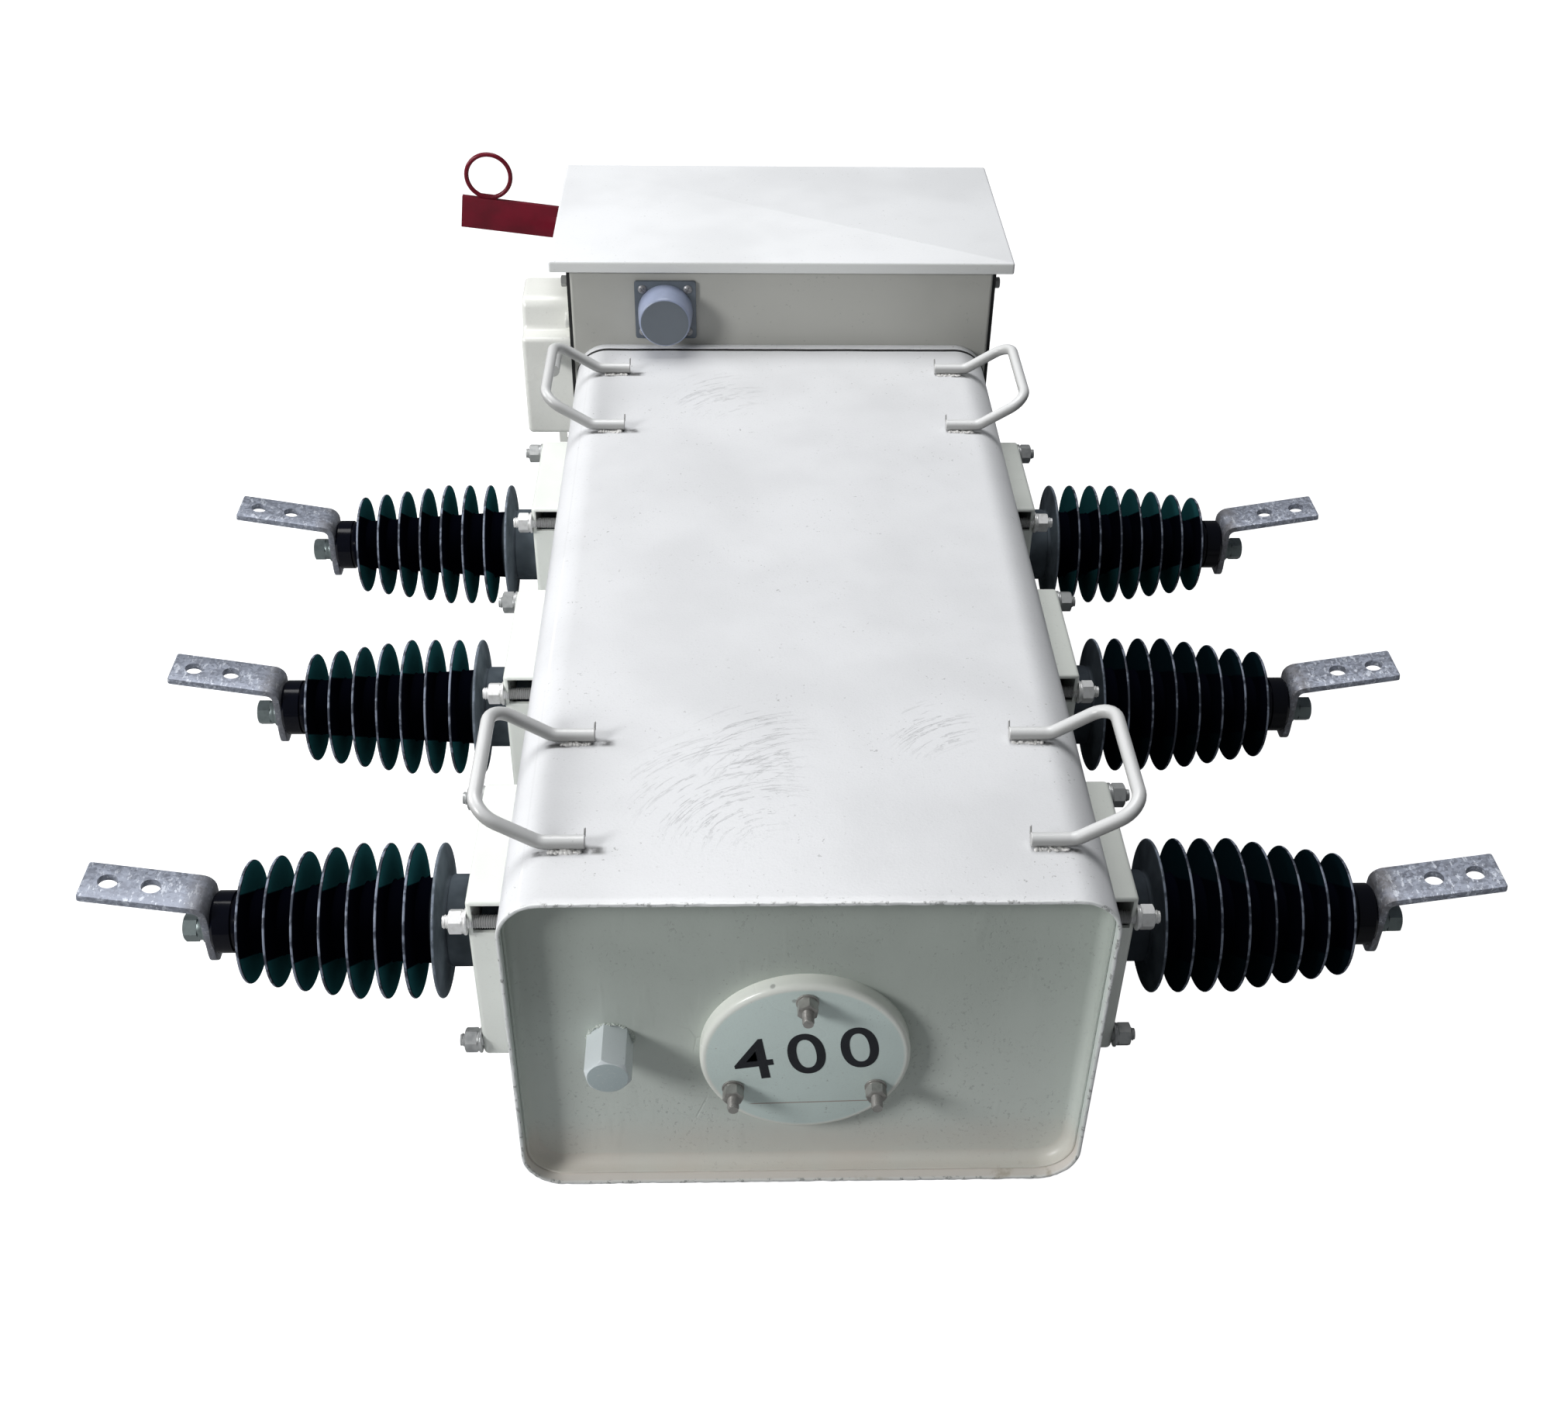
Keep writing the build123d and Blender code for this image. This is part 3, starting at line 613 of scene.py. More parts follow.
def roof_scuffs_and_fold_shade(look, tone, height):
    """Small grey scuffs on the roof, and painted shade on its front-facing fold."""
    scuff = look.cells(12.0)("Distance").below(0.03, 0.075) * look.noise(240.0).above(0.5, 0.58)
    tone = look.blend(scuff * 0.6, tone, (0.34, 0.34, 0.33))
    # Painted shade: the fold that faces the front is darker.
    front_fold_shade = look.facing("Y").below(-0.9, -0.6)
    return look.blend(front_fold_shade * 0.6, tone, (0.62, 0.63, 0.60)), height - scuff * 0.8


def plug_shade_and_speckle(look, tone, height):
    """Painted shade makes the end face of the plug darker than its flats; the end face is also
    speckled.
    """
    # Painted shade: the face that looks to the front is darker.
    end = look.facing("Y").below(-0.96, -0.86)
    tone = look.blend(end * 0.75, tone, (0.36, 0.45, 0.46))
    speckle = end * look.noise(420.0, 2.0).above(0.56, 0.66)
    return look.blend(speckle * 0.5, tone, (0.58, 0.63, 0.62)), height + speckle * 0.3


def rod_shade(look, tone, height):
    """Painted shade on the sides and undersides of the handle bars."""
    # Painted shade: the bars grow darker wherever they face away from straight up.
    painted_side_shade = look.facing("Z").below(0.1, 0.97)
    return look.blend(painted_side_shade * 0.75, tone, (0.26, 0.26, 0.25)), height


PAINT = {
    "tank": paint("tank_enamel", (0.765, 0.772, 0.79), tank_wear),
    # Painted shade: the recess enamel is a darker, greener copy of the off-white enamel.
    "pan": paint("recess_enamel", (0.50, 0.55, 0.505), pan_wear, 0.38),
    "cover": paint("cover_enamel", (0.74, 0.86, 0.825), cover_wear, 0.28),
    "clamp": paint("clamp_enamel", (0.84, 0.87, 0.82), None, 0.36, 0.12, 0.4),
    "rod": paint("handle_enamel", (0.74, 0.745, 0.745), rod_shade, 0.30, 0.16, 0.4),
    # Painted shade: the box enamel, on the box front and the lever bearing, is a darker copy of
    # the off-white enamel.
    "box": paint("box_enamel", (0.43, 0.43, 0.40), None, 0.42, 0.12, 1.0),
    "housing": paint("housing_enamel", (0.80, 0.805, 0.765), None, 0.28, 0.12, 0.8),
    "roof": paint("roof_enamel", (0.80, 0.81, 0.825), roof_scuffs_and_fold_shade, 0.62, 0.10, 0.6, 0.0),
    "plug": paint("plug_enamel", (0.80, 0.86, 0.88), plug_shade_and_speckle, 0.28, 0.06, 0.5),
    "weld": paint("weld_enamel", (0.74, 0.73, 0.71), None, 0.36, 0.20, 1.6),
}
print("paint:", len(PAINT), "tones of one enamel")

# %% [markdown]
# ## Metals, rubber and the black insulator
#
# The bushings are a glossy black casting. A painted blue-green reflection lies on the inner
# faces of their sheds, with painted shade along the core and painted highlights on the rims.
# The terminals are dipped in zinc, whose crystals show as a mottle of pale spangles, so cells
# of a Voronoi pattern drive both colour and roughness.


# %% Other finishes
# Places are in millimetres: out along the bushings, or from the left in the lever's case.
BUSHING_LEVEL, BUSHING_MIDDLE, BUSHING_STEP = 128.0, 17.0, 272.0
CLAMP_SHADE, TERMINAL_KNEE = (205, 208, 241, 243), (448, 454, 460, 474)
LEVER_RUB = (-262, -232, -214, -190)
CORE_EDGE, RIM_EDGE = (35.5, 38.0), (59.8, 60.3)
TAPER_FROM, TAPER = 340.25, 0.1459
FLANGE_FACE, TIP_FACE = (281, 284), (432, 436)
# The second colour is a painted blue-green reflection on the sheds, the third a painted highlight
# on their rims.
INK, SHED_REFLECTION_TEAL, RIM_HIGHLIGHT = (0.002, 0.0025, 0.006), (0.016, 0.086, 0.096), (0.30, 0.34, 0.43)


def plated(name, colour, wear):
    """Zinc plating on fasteners, dulled in places and shaded inside the clamps."""
    look = Look(name)
    cloud = look.noise(120.0)
    tone = look.blend(cloud.above(0.45, 0.75) * 0.6, colour, wear)
    tone = look.blend(abs(look.x).window(*CLAMP_SHADE) * 0.65, tone, (0.12, 0.12, 0.12))
    normal = look.bump(look.noise(600.0, 2.0), 0.05)
    return look.finish(tone, cloud * 0.25 + 0.26, normal, metal=0.45)


def spangled(name):
    """Hot-dip galvanising: small crystals of lavender grey, streaks, browner at the bend."""
    look = Look(name)
    crystal = look.node("SeparateColor", {"Color": look.cells(430.0)("Color")})("Red")
    fine = look.noise(900.0, 3.0, 0.75)
    streak = look.noise(260.0, 4.0, 0.75, (1.0, 0.40, 1.0)).above(0.55, 0.62)
    tone = look.blend(crystal, (0.21, 0.225, 0.275), (0.44, 0.475, 0.57))
    tone = look.blend(streak * 0.75, tone, (0.84, 0.88, 0.97))
    tone = look.blend(fine.above(0.56, 0.70) * 0.45, tone, (0.16, 0.17, 0.20))
    # Darker and browner round the knee of each terminal.
    bend = abs(look.x).window(*TERMINAL_KNEE) * look.noise(40.0).above(0.25, 0.55)
    tone = look.blend(bend * 0.6, tone, (0.16, 0.145, 0.135))
    tone = look.blend(look.x.below(-20, 20) * 0.30, tone, (0.16, 0.18, 0.22))
    normal = look.bump(crystal * 0.2 + fine * 0.5 + streak * 0.3, 0.10)
    return look.finish(tone, crystal * 0.16 + 0.38 + bend * 0.1, normal, metal=0.45)


def insulator(name):
    """Black cast insulator: a painted blue-green reflection on the sheds, painted shade along the
    core, painted highlights on the rims, dust at the foot.
    """
    look = Look(name)
    out = abs(look.x)
    level, half = look.z - BUSHING_LEVEL, BUSHING_STEP / 2
    station = look.maths("WRAP", look.y - BUSHING_MIDDLE, half, -half)
    radius = look.distance(level, station)
    on_shed = radius.above(*CORE_EDGE)
    taper = look.maths("MAXIMUM", out - TAPER_FROM, 0.0) * TAPER
    along = look.facing("X")
    rim = (radius + taper).above(*RIM_EDGE) * abs(along).below(0.45, 0.75)
    patchy = look.noise(22.0)
    left = look.x.below(-20, 20) + look.y.above(205, 225) * look.x.above(-20, 20)
    inner_side = (along * look.x / out).below(-0.92, -0.80)
    # Painted shade: a slanted band that follows the core's outline as the camera sees it keeps the
    # shed faces black along the core.
    band = abs(level * 0.78 + station * 0.62) + out * 0.054
    # Painted reflection: outside that band, the shed faces that look towards the tank take a
    # blue-green tint, strongest on the left-hand bushings and the rear right one.
    shed_reflection = inner_side * band.above(46.5, 48.0) * out.above(284, 286)
    shed_reflection = shed_reflection * (left * 0.85 + 0.10) * (patchy * 0.5 + 0.70)
    tone = look.blend(shed_reflection, INK, SHED_REFLECTION_TEAL)
    worn = look.noise(90.0, 3.0, 0.6).above(0.42, 0.58)
    # Painted highlight: a pale line along each shed rim, patchy along its length.
    tone = look.blend(rim * (worn * 0.6 + 0.2), tone, RIM_HIGHLIGHT)
    dust = out.below(*FLANGE_FACE)
    # The dust film is thinner on the right-hand bushings, except the rear one, as painted shade.
    film = dust * (patchy.above(0.3, 0.7) * 0.4 + 0.4) * (left * 0.55 + 0.45)
    tone = look.blend(film, tone, (0.15, 0.18, 0.21))
    scratch = look.noise(180.0, 4.0, 0.7, (0.3, 1.0, 1.0)).above(0.70, 0.74)
    tone = look.blend(scratch * on_shed * 0.4, tone, (0.10, 0.12, 0.13))
    on_core = on_shed.below(0.2, 0.8) * out.below(434, 437)
    rough = dust * 0.25 + patchy * 0.10 + on_core * 0.25 + 0.24
    normal = look.bump(look.noise(150.0, 2.0), 0.10)
    gloss = out.above(*TIP_FACE) * 0.4 + rim * 0.3
    return look.finish(tone, rough, normal, coat=gloss, coat_rough=0.12, specular=0.0)


def plain(name, colour, rough, metal=0.0, coat=0.0):
    """A finish with a slow mottle and a fine grain."""
    look = Look(name)
    cloud = look.noise(45.0)
    tone = look.blend(cloud.above(0.3, 0.75), colour, tuple(c * 0.76 for c in colour))
    normal = look.bump(look.noise(300.0, 2.0), 0.06)
    return look.finish(tone, cloud * 0.16 + (rough - 0.08), normal, metal, coat)


def moulded(name, colour, face):
    """Grey-blue moulded plastic, with painted shade making its front face darker."""
    look = Look(name)
    # Painted shade: the face that looks to the front is darker than the sides.
    tone = look.blend(look.facing("Y").below(-0.97, -0.85), colour, face)
    tone = look.blend(look.noise(60.0).above(0.4, 0.7) * 0.15, tone, (0.10, 0.11, 0.13))
    return look.finish(tone, 0.42, look.bump(look.noise(300.0, 2.0), 0.06), coat=0.1)


def crimson(name):
    """Dark red enamel with fine scratches along the bar, near the box."""
    look = Look(name)
    cloud = look.noise(30.0)
    tone = look.blend(cloud.above(0.3, 0.7), (0.150, 0.003, 0.015), (0.100, 0.002, 0.010))
    fine = look.noise(260.0, 3.0, 0.7, (0.05, 1.0, 1.0)).above(0.56, 0.68)
    tone = look.blend(fine * look.x.window(*LEVER_RUB) * 0.45, tone, (0.42, 0.10, 0.12))
    normal = look.bump(look.noise(130.0, 2.0), 0.12)
    rough = cloud * 0.15 + 0.30
    return look.finish(tone, rough, normal, coat=0.1, coat_rough=0.12, specular=0.25)


ZINC = plated("zinc_plating", (0.62, 0.63, 0.62), (0.30, 0.30, 0.29))
DULL_ZINC = plated("dull_zinc", (0.40, 0.39, 0.37), (0.14, 0.13, 0.12))
PALE_ZINC = plated("pale_zinc", (0.88, 0.88, 0.88), (0.55, 0.55, 0.52))
GREY_ZINC = plated("grey_zinc", (0.50, 0.51, 0.51), (0.26, 0.27, 0.28))
DARK_ZINC = plated("dark_zinc", (0.20, 0.24, 0.24), (0.12, 0.14, 0.145))
BRIGHT = plated("screw_steel", (0.34, 0.34, 0.35), (0.14, 0.14, 0.15))
SPANGLED = spangled("galvanising")
INSULATOR = insulator("black_insulator")
RUBBER = plain("gasket_rubber", (0.012, 0.012, 0.013), 0.62)
BLUE_GREY = plain("connector_body", (0.135, 0.16, 0.19), 0.42, metal=0.25, coat=0.1)
# The second colour is painted shade on the cap's front face.
CAP_GREY = moulded("connector_cap_skin", (0.27, 0.31, 0.43), (0.115, 0.135, 0.158))
CRIMSON = crimson("lever_enamel")
BLACK_PAINT = plain("stencil_black", (0.010, 0.012, 0.018), 0.45)
print("materials so far:", len(bpy.data.materials))

# %% [markdown]
# ## Geometry Nodes trees
#
# Four small trees make what repeats or follows a rule. `turning` spins an outline into a
# turned piece, `fixing` builds a washer, nut and threaded stud and sets one on each point,
# `cross_screw` cuts its cross with a Boolean, and `weld` drops uneven beads along a seam.
# Each ends in Realize Instances and Set Material, and is turned into a plain mesh at once.


# %% The tree builder
class Grower(Maker):
    """A Geometry Nodes tree with named inputs, all of one kind but for those given."""

    family = "GeometryNode"

    def __init__(self, name, numbers, whole=()):
        super().__init__(bpy.data.node_groups.new(name, "GeometryNodeTree"))
        face = self.tree.interface
        kinds = {"Geometry": "Geometry", **dict.fromkeys(numbers, "Float")}
        kinds = {**kinds, **dict.fromkeys(whole, "Int"), "Material": "Material"}
        for key, kind in kinds.items():
            face.new_socket(key, in_out="INPUT", socket_type="NodeSocket" + kind)
        face.new_socket("Geometry", in_out="OUTPUT", socket_type="NodeSocketGeometry")
        start = self.node("NodeGroupInput")
        self.given = {key: start(key) for key in kinds}

    def circle(self, segments, radius):
        sockets = {"Resolution": segments, "Radius": radius}
        return self.node("CurvePrimitiveCircle", sockets)("Curve")

    def swept(self, curve, section, **more):
        """A section carried along a curve."""
        return self.node("CurveToMesh", {"Curve": curve, "Profile Curve": section, **more})()

    def boolean(self, operation, sockets):
        return self.node("MeshBoolean", sockets, operation=operation, solver="EXACT")("Mesh")

    def lift(self, geometry, height):
        """Move a geometry up its own axis."""
        place = self.node("ShaderNodeCombineXYZ", {"Z": height})()
        return self.node("Transform", {"Geometry": geometry, "Translation": place})()

    def chance(self, low, high, output=0, **settings):
        """A random value for each point, from the tree's own seed."""
        first = 2 if output else 0
        sockets = {first: low, first + 1: high, "Seed": self.given["Seed"]}
        return self.node("FunctionNodeRandomValue", sockets, **settings)(output)

    def on_points(self, one):
        """Set one geometry on each point, along its facing and turned by chance."""
        facing = self.node("InputNamedAttribute", {"Name": "facing"}, data_type="FLOAT_VECTOR")()
        sockets = {"Axis": (0, 0, 1), "Angle": self.chance(0.0, math.tau, 1)}
        spin = self.node("FunctionNodeAxisAngleToRotation", sockets)()
        level = self.node("FunctionNodeAlignRotationToVector", {"Vector": facing}, axis="Z")()
        sockets = {"Rotation": level, "Rotate By": spin}
        rotation = self.node("FunctionNodeRotateRotation", sockets, rotation_space="LOCAL")()
        return self.end(self.given["Geometry"], one, rotation)

    def end(self, points, one=None, rotation=None, **more):
        """Place the instances if there are any, realize, set the material and close."""
        if one:
            sockets = {"Points": points, "Instance": one, "Rotation": rotation, **more}
            points = self.node("InstanceOnPoints", sockets)()
        real = self.node("RealizeInstances", {"Geometry": points})()
        sockets = {"Geometry": real, "Material": self.given["Material"]}
        self.node("NodeGroupOutput", {0: self.node("SetMaterial", sockets)()})
        return self.tree


def grown(name, carrier, tree, **inputs):
    """Run a tree on a carrier and return the plain mesh it made."""
    holder = linked(name, carrier)
    modifier = holder.modifiers.new("grow", "NODES")
    modifier.node_group = tree
    for item in tree.interface.items_tree:
        key = item.name.replace(" ", "_").lower()
        if item.in_out == "INPUT" and key in inputs:
            modifier[item.identifier] = inputs[key]
    return flattened(holder)


# %% The turning tree
HUB = 1.0


def turning_tree():
    grow = Grower("turning", ["Hub"], ["Segments"])
    circle = grow.circle(grow.given["Segments"], grow.given["Hub"])
    spun = grow.swept(circle, grow.given["Geometry"])
    return grow.end(grow.node("MergeByDistance", {"Geometry": spun, "Distance": SAME_PLACE})())


TURNING = turning_tree()


def turned(name, outline, origin, axis, segments):
    """Spin an outline of (along, radius) points about an axis, all in millimetres."""
    curve = bpy.data.curves.new(name, "CURVE")
    curve.dimensions = "3D"
    spline = curve.splines.new("POLY")
    spline.points.add(len(outline) - 1)
    for point, (along, radius) in zip(spline.points, outline):
        point.co = (radius * MM - HUB, -along * MM, 0, 1)
    mesh = grown(name, curve, TURNING, segments=segments, hub=HUB)
    turn = axis.to_track_quat("Z", "Y").to_matrix().to_4x4()
    mesh.transform(Matrix.Translation(origin * MM) @ turn)
    shape = bmesh.new()
    shape.from_mesh(mesh)
    return from_bmesh(name, shape)


# %% The fixing tree
NUT_SIZES = (
    "flats", "head_height", "washer_radius", "washer_thickness", "spring_thickness",
    "stud_radius", "pitch", "stud_start", "stud_end",
)


def fixing_tree():
    grow = Grower("fixing", [key.replace("_", " ").title() for key in NUT_SIZES], ["Seed"])
    give = grow.given
    flats, head_height = give["Flats"], give["Head Height"]

    def ring(radius, thickness, level):
        """A washer: a rounded section carried round a circle."""
        hole = give["Stud Radius"] * 0.9
        sockets = {"Width": radius - hole, "Height": thickness}
        box = grow.node("CurvePrimitiveQuadrilateral", sockets)()
        sockets = {"Curve": box, "Radius": 0.35 * MM, "Count": 2}
        section = grow.node("FilletCurve", sockets, mode="POLY")()
        made = grow.swept(grow.circle(32, (radius + hole) * 0.5), section)
        return grow.lift(made, thickness * 0.5 + level)

    washer = ring(give["Washer Radius"], give["Washer Thickness"], 0.0)
    spring = ring(flats * 0.52, give["Spring Thickness"], give["Washer Thickness"])
    corner = flats * (0.5 / math.cos(math.pi / 6))
    sockets = {"Vertices": 6, "Radius": corner, "Depth": head_height}
    prism = grow.node("MeshCylinder", sockets)("Mesh")
    top = flats * 0.475
    foot = top + head_height * 1.9
    sockets = {"Vertices": 36, "Radius Top": top, "Radius Bottom": foot, "Depth": head_height}
    cone = grow.lift(grow.node("MeshCone", sockets)("Mesh"), head_height * -0.5)
    head = grow.boolean("INTERSECT", {"Mesh 2": [prism, cone]})
    head_foot = give["Washer Thickness"] + give["Spring Thickness"]
    head = grow.lift(head, head_foot + head_height * 0.5)
    length = give["Stud End"] - give["Stud Start"]
    bare = give["Stud Radius"] * 0.90
    core = grow.node("MeshCylinder", {"Vertices": 24, "Radius": bare, "Depth": length})("Mesh")
    core = grow.lift(core, (give["Stud End"] + give["Stud Start"]) * 0.5)
    threaded = length - 1.2 * MM
    sockets = {
        "Resolution": 18, "Rotations": threaded / give["Pitch"],
        "Start Radius": bare, "End Radius": bare, "Height": threaded,
    }
    helix = grow.node("CurveSpiral", sockets)()
    helix = grow.node("SetCurveNormal", {"Curve": helix}, mode="Z_UP")()
    thread = grow.swept(helix, grow.circle(4, give["Pitch"] * 0.46), **{"Fill Caps": True})
    parts = [washer, spring, head, core, grow.lift(thread, give["Stud Start"])]
    return grow.on_points(grow.node("JoinGeometry", {"Geometry": parts})())


def cross_tree():
    """A domed screw head with a cross cut into it."""
    grow = Grower("cross_screw", ["Radius", "Height"], ["Seed"])
    radius, height = grow.given["Radius"], grow.given["Height"]
    sockets = {"Vertices": 32, "Radius": radius, "Depth": height * 2.0}
    drum = grow.node("MeshCylinder", sockets)("Mesh")
    dome = radius * 1.45
    ball = grow.node("MeshUVSphere", {"Segments": 48, "Rings": 32, "Radius": dome})("Mesh")
    head = grow.boolean("INTERSECT", {"Mesh 2": [drum, grow.lift(ball, height - dome)]})
    long_side, narrow = radius * 1.25, radius * 0.26
    cross = []
    for wide, deep in ((long_side, narrow), (narrow, long_side)):
        size = grow.node("ShaderNodeCombineXYZ", {"X": wide, "Y": deep, "Z": height})()
        cross.append(grow.lift(grow.node("MeshCube", {"Size": size})("Mesh"), height))
    return grow.on_points(grow.boolean("DIFFERENCE", {"Mesh 1": head, "Mesh 2": cross}))


FIXING, CROSS = fixing_tree(), cross_tree()


def fixings(name, places, material, node, sizes, seed, tree=FIXING):
    """Set one fixing on each (point, direction), in millimetres."""
    carrier = bpy.data.meshes.new(name)
    carrier.from_pydata([Vector(p) * MM for p, _ in places], [], [])
    facing = carrier.attributes.new("facing", "FLOAT_VECTOR", "POINT")
    facing.data.foreach_set("vector", [c for _, d in places for c in d])
    lengths = {key: value * MM for key, value in sizes.items()}
    mesh = grown(name, carrier, tree, material=material, seed=seed, **lengths)
    print(name, "has", len(places), "fixings,", len(mesh.polygons), "faces")
    piece(name, mesh, material, node)


def nut(*sizes):
    """The sizes of a fixing, in millimetres, in the order of NUT_SIZES."""
    return dict(zip(NUT_SIZES, sizes))


# %% The weld tree
def weld_tree():
    grow = Grower("weld", ["Bead", "Spacing"], ["Seed"])
    line = grow.node("MeshToCurve", {"Mesh": grow.given["Geometry"]})()
    sockets = {"Curve": line, "Length": grow.given["Spacing"]}
    line = grow.node("ResampleCurve", sockets, mode="LENGTH")()
    sockets = {"Radius": grow.given["Bead"], "Subdivisions": 3}
    ball = grow.node("MeshIcoSphere", sockets)("Mesh")
    scale = grow.chance((0.5, 0.5, 0.35), (1.7, 1.5, 1.0), data_type="FLOAT_VECTOR")
    turn = grow.chance((-0.4, -0.4, 0.0), (0.4, 0.4, math.tau), data_type="FLOAT_VECTOR")
    turn = grow.node("FunctionNodeEulerToRotation", {"Euler": turn})()
    return grow.end(line, ball, turn, Scale=scale)


WELD = weld_tree()


def welds(name, seams, bead, spacing, material):
    """Beads of weld along seams, each a list of points in millimetres."""
    points, edges = [], []
    for seam in seams:
        edges += [(len(points) + i, len(points) + i + 1) for i in range(len(seam) - 1)]
        points += [Vector(p) * MM for p in seam]
    carrier = bpy.data.meshes.new(name)
    carrier.from_pydata(points, edges, [])
    sizes = {"bead": bead * MM, "spacing": spacing * MM, "seed": 7}
    piece(name, grown(name, carrier, WELD, material=material, **sizes), material)


print("trees:", TURNING.name, FIXING.name, CROSS.name, WELD.name)

# %% [markdown]
# ## Tank and pressed end
#
# The tank wall is a run of rounded rectangles carried from the front lip to the rear. Its
# front lip was sheared and painted over, so its rings are nibbled by noise. The end is a
# pressed pan whose rim lies inside the lip, with a soft bend into the flat face. A line of
# black sealant stands a little out of the rear joint.

# %% Tank, end pan, flange and gasket
WALL, TANK_CORNER, PAN_CORNER = 3.0, 32.0, 29.0
ARC_STEPS = 20


def rectangle(low, high, y, inset, corner, straight, worn=0.0):
    """A rounded rectangle of points in an upright plane, inset from the tank outline."""
    radius = max(corner - inset, 1.0)
    left, right, foot, top = low.x + inset, high.x - inset, low.z + inset, high.z - inset
    corners = round_corners(left, right, foot, top, radius, ARC_STEPS)
    ring = []
    for index, point in enumerate(corners):
        ring.append(point)
        if index % (ARC_STEPS + 1) == ARC_STEPS:
            ring += between(point, corners[(index + 1) % len(corners)], straight)
    points = [Vector((x, y, z)) for x, z in ring]
    for point in points:
        nibble = noise.noise(point * 0.16) * 0.6 + noise.noise(point * 0.45) * 0.4
        point.y += worn * max(0.0, nibble + 0.1)
    return [point * MM for point in points]


def tank():
    low, high = measure("tank_shell")
    front, rear = low.y, high.y
    outer = [
        (rear, 0.5), (rear - 0.5, 0.0), (rear * 0.5, 0.0), (0.0, 0.0), (front * 0.5, 0.0),
        (front + 8, 0.0), (front + 1.3, 0.0), (front + 0.35, 0.35), (front, 1.1),
    ]
    inner = [
        (front, WALL - 1.1), (front + 0.4, WALL - 0.3), (front + 1.6, WALL),
        (front + 30, WALL), (rear, WALL),
    ]
    rings = []
    for y, inset in outer + inner:
        worn = 1.1 if y < front + 1.0 else 0.5 if y < front + 2 else 0.0
        rings.append(rectangle(low, high, y, inset, TANK_CORNER, 110, worn))
    piece("tank", skin("tank", rings, loop=True), PAINT["tank"], "tank_shell")


def end_pan():
    """A pressed pan: the face, its bend, a rim, and the rounded back."""
    low, high = measure("front_end_plate")
    front, back = low.y, high.y
    stations = [(PAN_FACE - draw, 2 + bend) for bend, draw in fillet(PAN_BEND, 6)]
    stations += [(front + 0.5, 2.0), (front, 1.6), (front, 0.5), (front + 0.6, 0.0)]
    stations += [(back - draw, inset) for draw, inset in fillet(PAN_BEND, 4)]
    rings = [rectangle(low, high, y, inset, PAN_CORNER, 60) for y, inset in stations]
    piece("end_pan", skin("end_pan", rings), PAINT["pan"], "front_end_plate")


def joint_seal():
    """A thin black line of sealant squeezed out between the tank and its rear flange."""
    low, high = measure("tank_shell")
    section = [
        (-1.7, 0.4), (-1.2, -0.4), (0.6, -0.8), (2.4, -0.4), (2.9, 0.4), (2.9, 1.6), (-1.7, 1.6),
    ]
    rings = []
    for out, inset in section:
        points = rectangle(low, high, high.y + out, inset, TANK_CORNER, 90)
        wavy = [p + Y * (noise.noise(p * 60) * 0.5 * MM) for p in points]
        rings.append([Vector((p.x, p.y, max(p.z, 0.0))) for p in wavy])
    piece("joint_seal", skin("joint_seal", rings, loop=True), RUBBER)


tank()
end_pan()
softened("flange", "rear_end_flange", 1.0, PAINT["tank"])
dress("flange_gasket", RUBBER)
joint_seal()
print("tank end at", round(LIP_FRONT, 1), "mm, top at", round(TANK_TOP, 1), "mm")

# %% [markdown]
# ## Relief cover, its studs and the filler plug
#
# The round cover is turned with a soft outer edge. Three studs hold it: plain washer, spring
# washer, nut and a stud that stands proud. The plug is a hexagon turned a little off level,
# with a painted-over weld at its root.

# %% Cover, studs and plug
COVER_AT = Vector((middle("relief_cover").x, COVER_HIGH.y, middle("relief_cover").z))
COVER_RADIUS, COVER_THICK = (COVER_HIGH.x - COVER_LOW.x) / 2, COVER_HIGH.y - COVER_LOW.y
COVER_EDGE, STUD_RING = 4.0, 60.0
COVER_NUT = nut(13.6, 7.6, 8.2, 1.5, 1.8, 4.1, 1.25, -6.0, 21.0)
PLUG_ROOT = 16.4


def cover():
    edge = [(COVER_THICK - along, COVER_RADIUS - back) for along, back in fillet(COVER_EDGE, 6)]
    middle_points = [(COVER_THICK, COVER_RADIUS * 0.5), (COVER_THICK, 0)]
    outline = [(0, 0), (0, COVER_RADIUS)] + edge + middle_points
    mesh = turned("cover", outline, COVER_AT, -Y, 96)
    piece("cover", mesh, PAINT["cover"], "relief_cover")


cover()
cover_studs = [
    (Vector((x, COVER_LOW.y, z)), -Y)
    for x, z in arc(COVER_AT.x, COVER_AT.z, STUD_RING, 90, 240, 2)
]
fixings("cover_nuts", cover_studs, DULL_ZINC, "cover_studs", COVER_NUT, 3)
softened("plug", "filler_plug", 0.7, PAINT["plug"], steps=3)
plug_at = middle("filler_plug")
root = [(x, COVER_AT.y - 0.2, z) for x, z in arc(plug_at.x, plug_at.z, PLUG_ROOT, 0, 360, 28)]
welds("plug_weld", [root], 1.3, 1.8, PAINT["pan"])
print("cover radius", COVER_RADIUS, "with", len(cover_studs), "studs")

# %% [markdown]
# ## Lettering
#
# A plain rating number stands where the photograph has its figures. It is text turned into a
# flat mesh, a fraction of a millimetre proud of the cover, and slopes as a hand stencil does.

# %% Plain number on the cover
FIGURE_SIZE, FIGURE_SLOPE = 60.0, math.radians(-9.2)
FIGURES_AT = Vector((1.1, COVER_LOW.y - 0.08, 134.7))


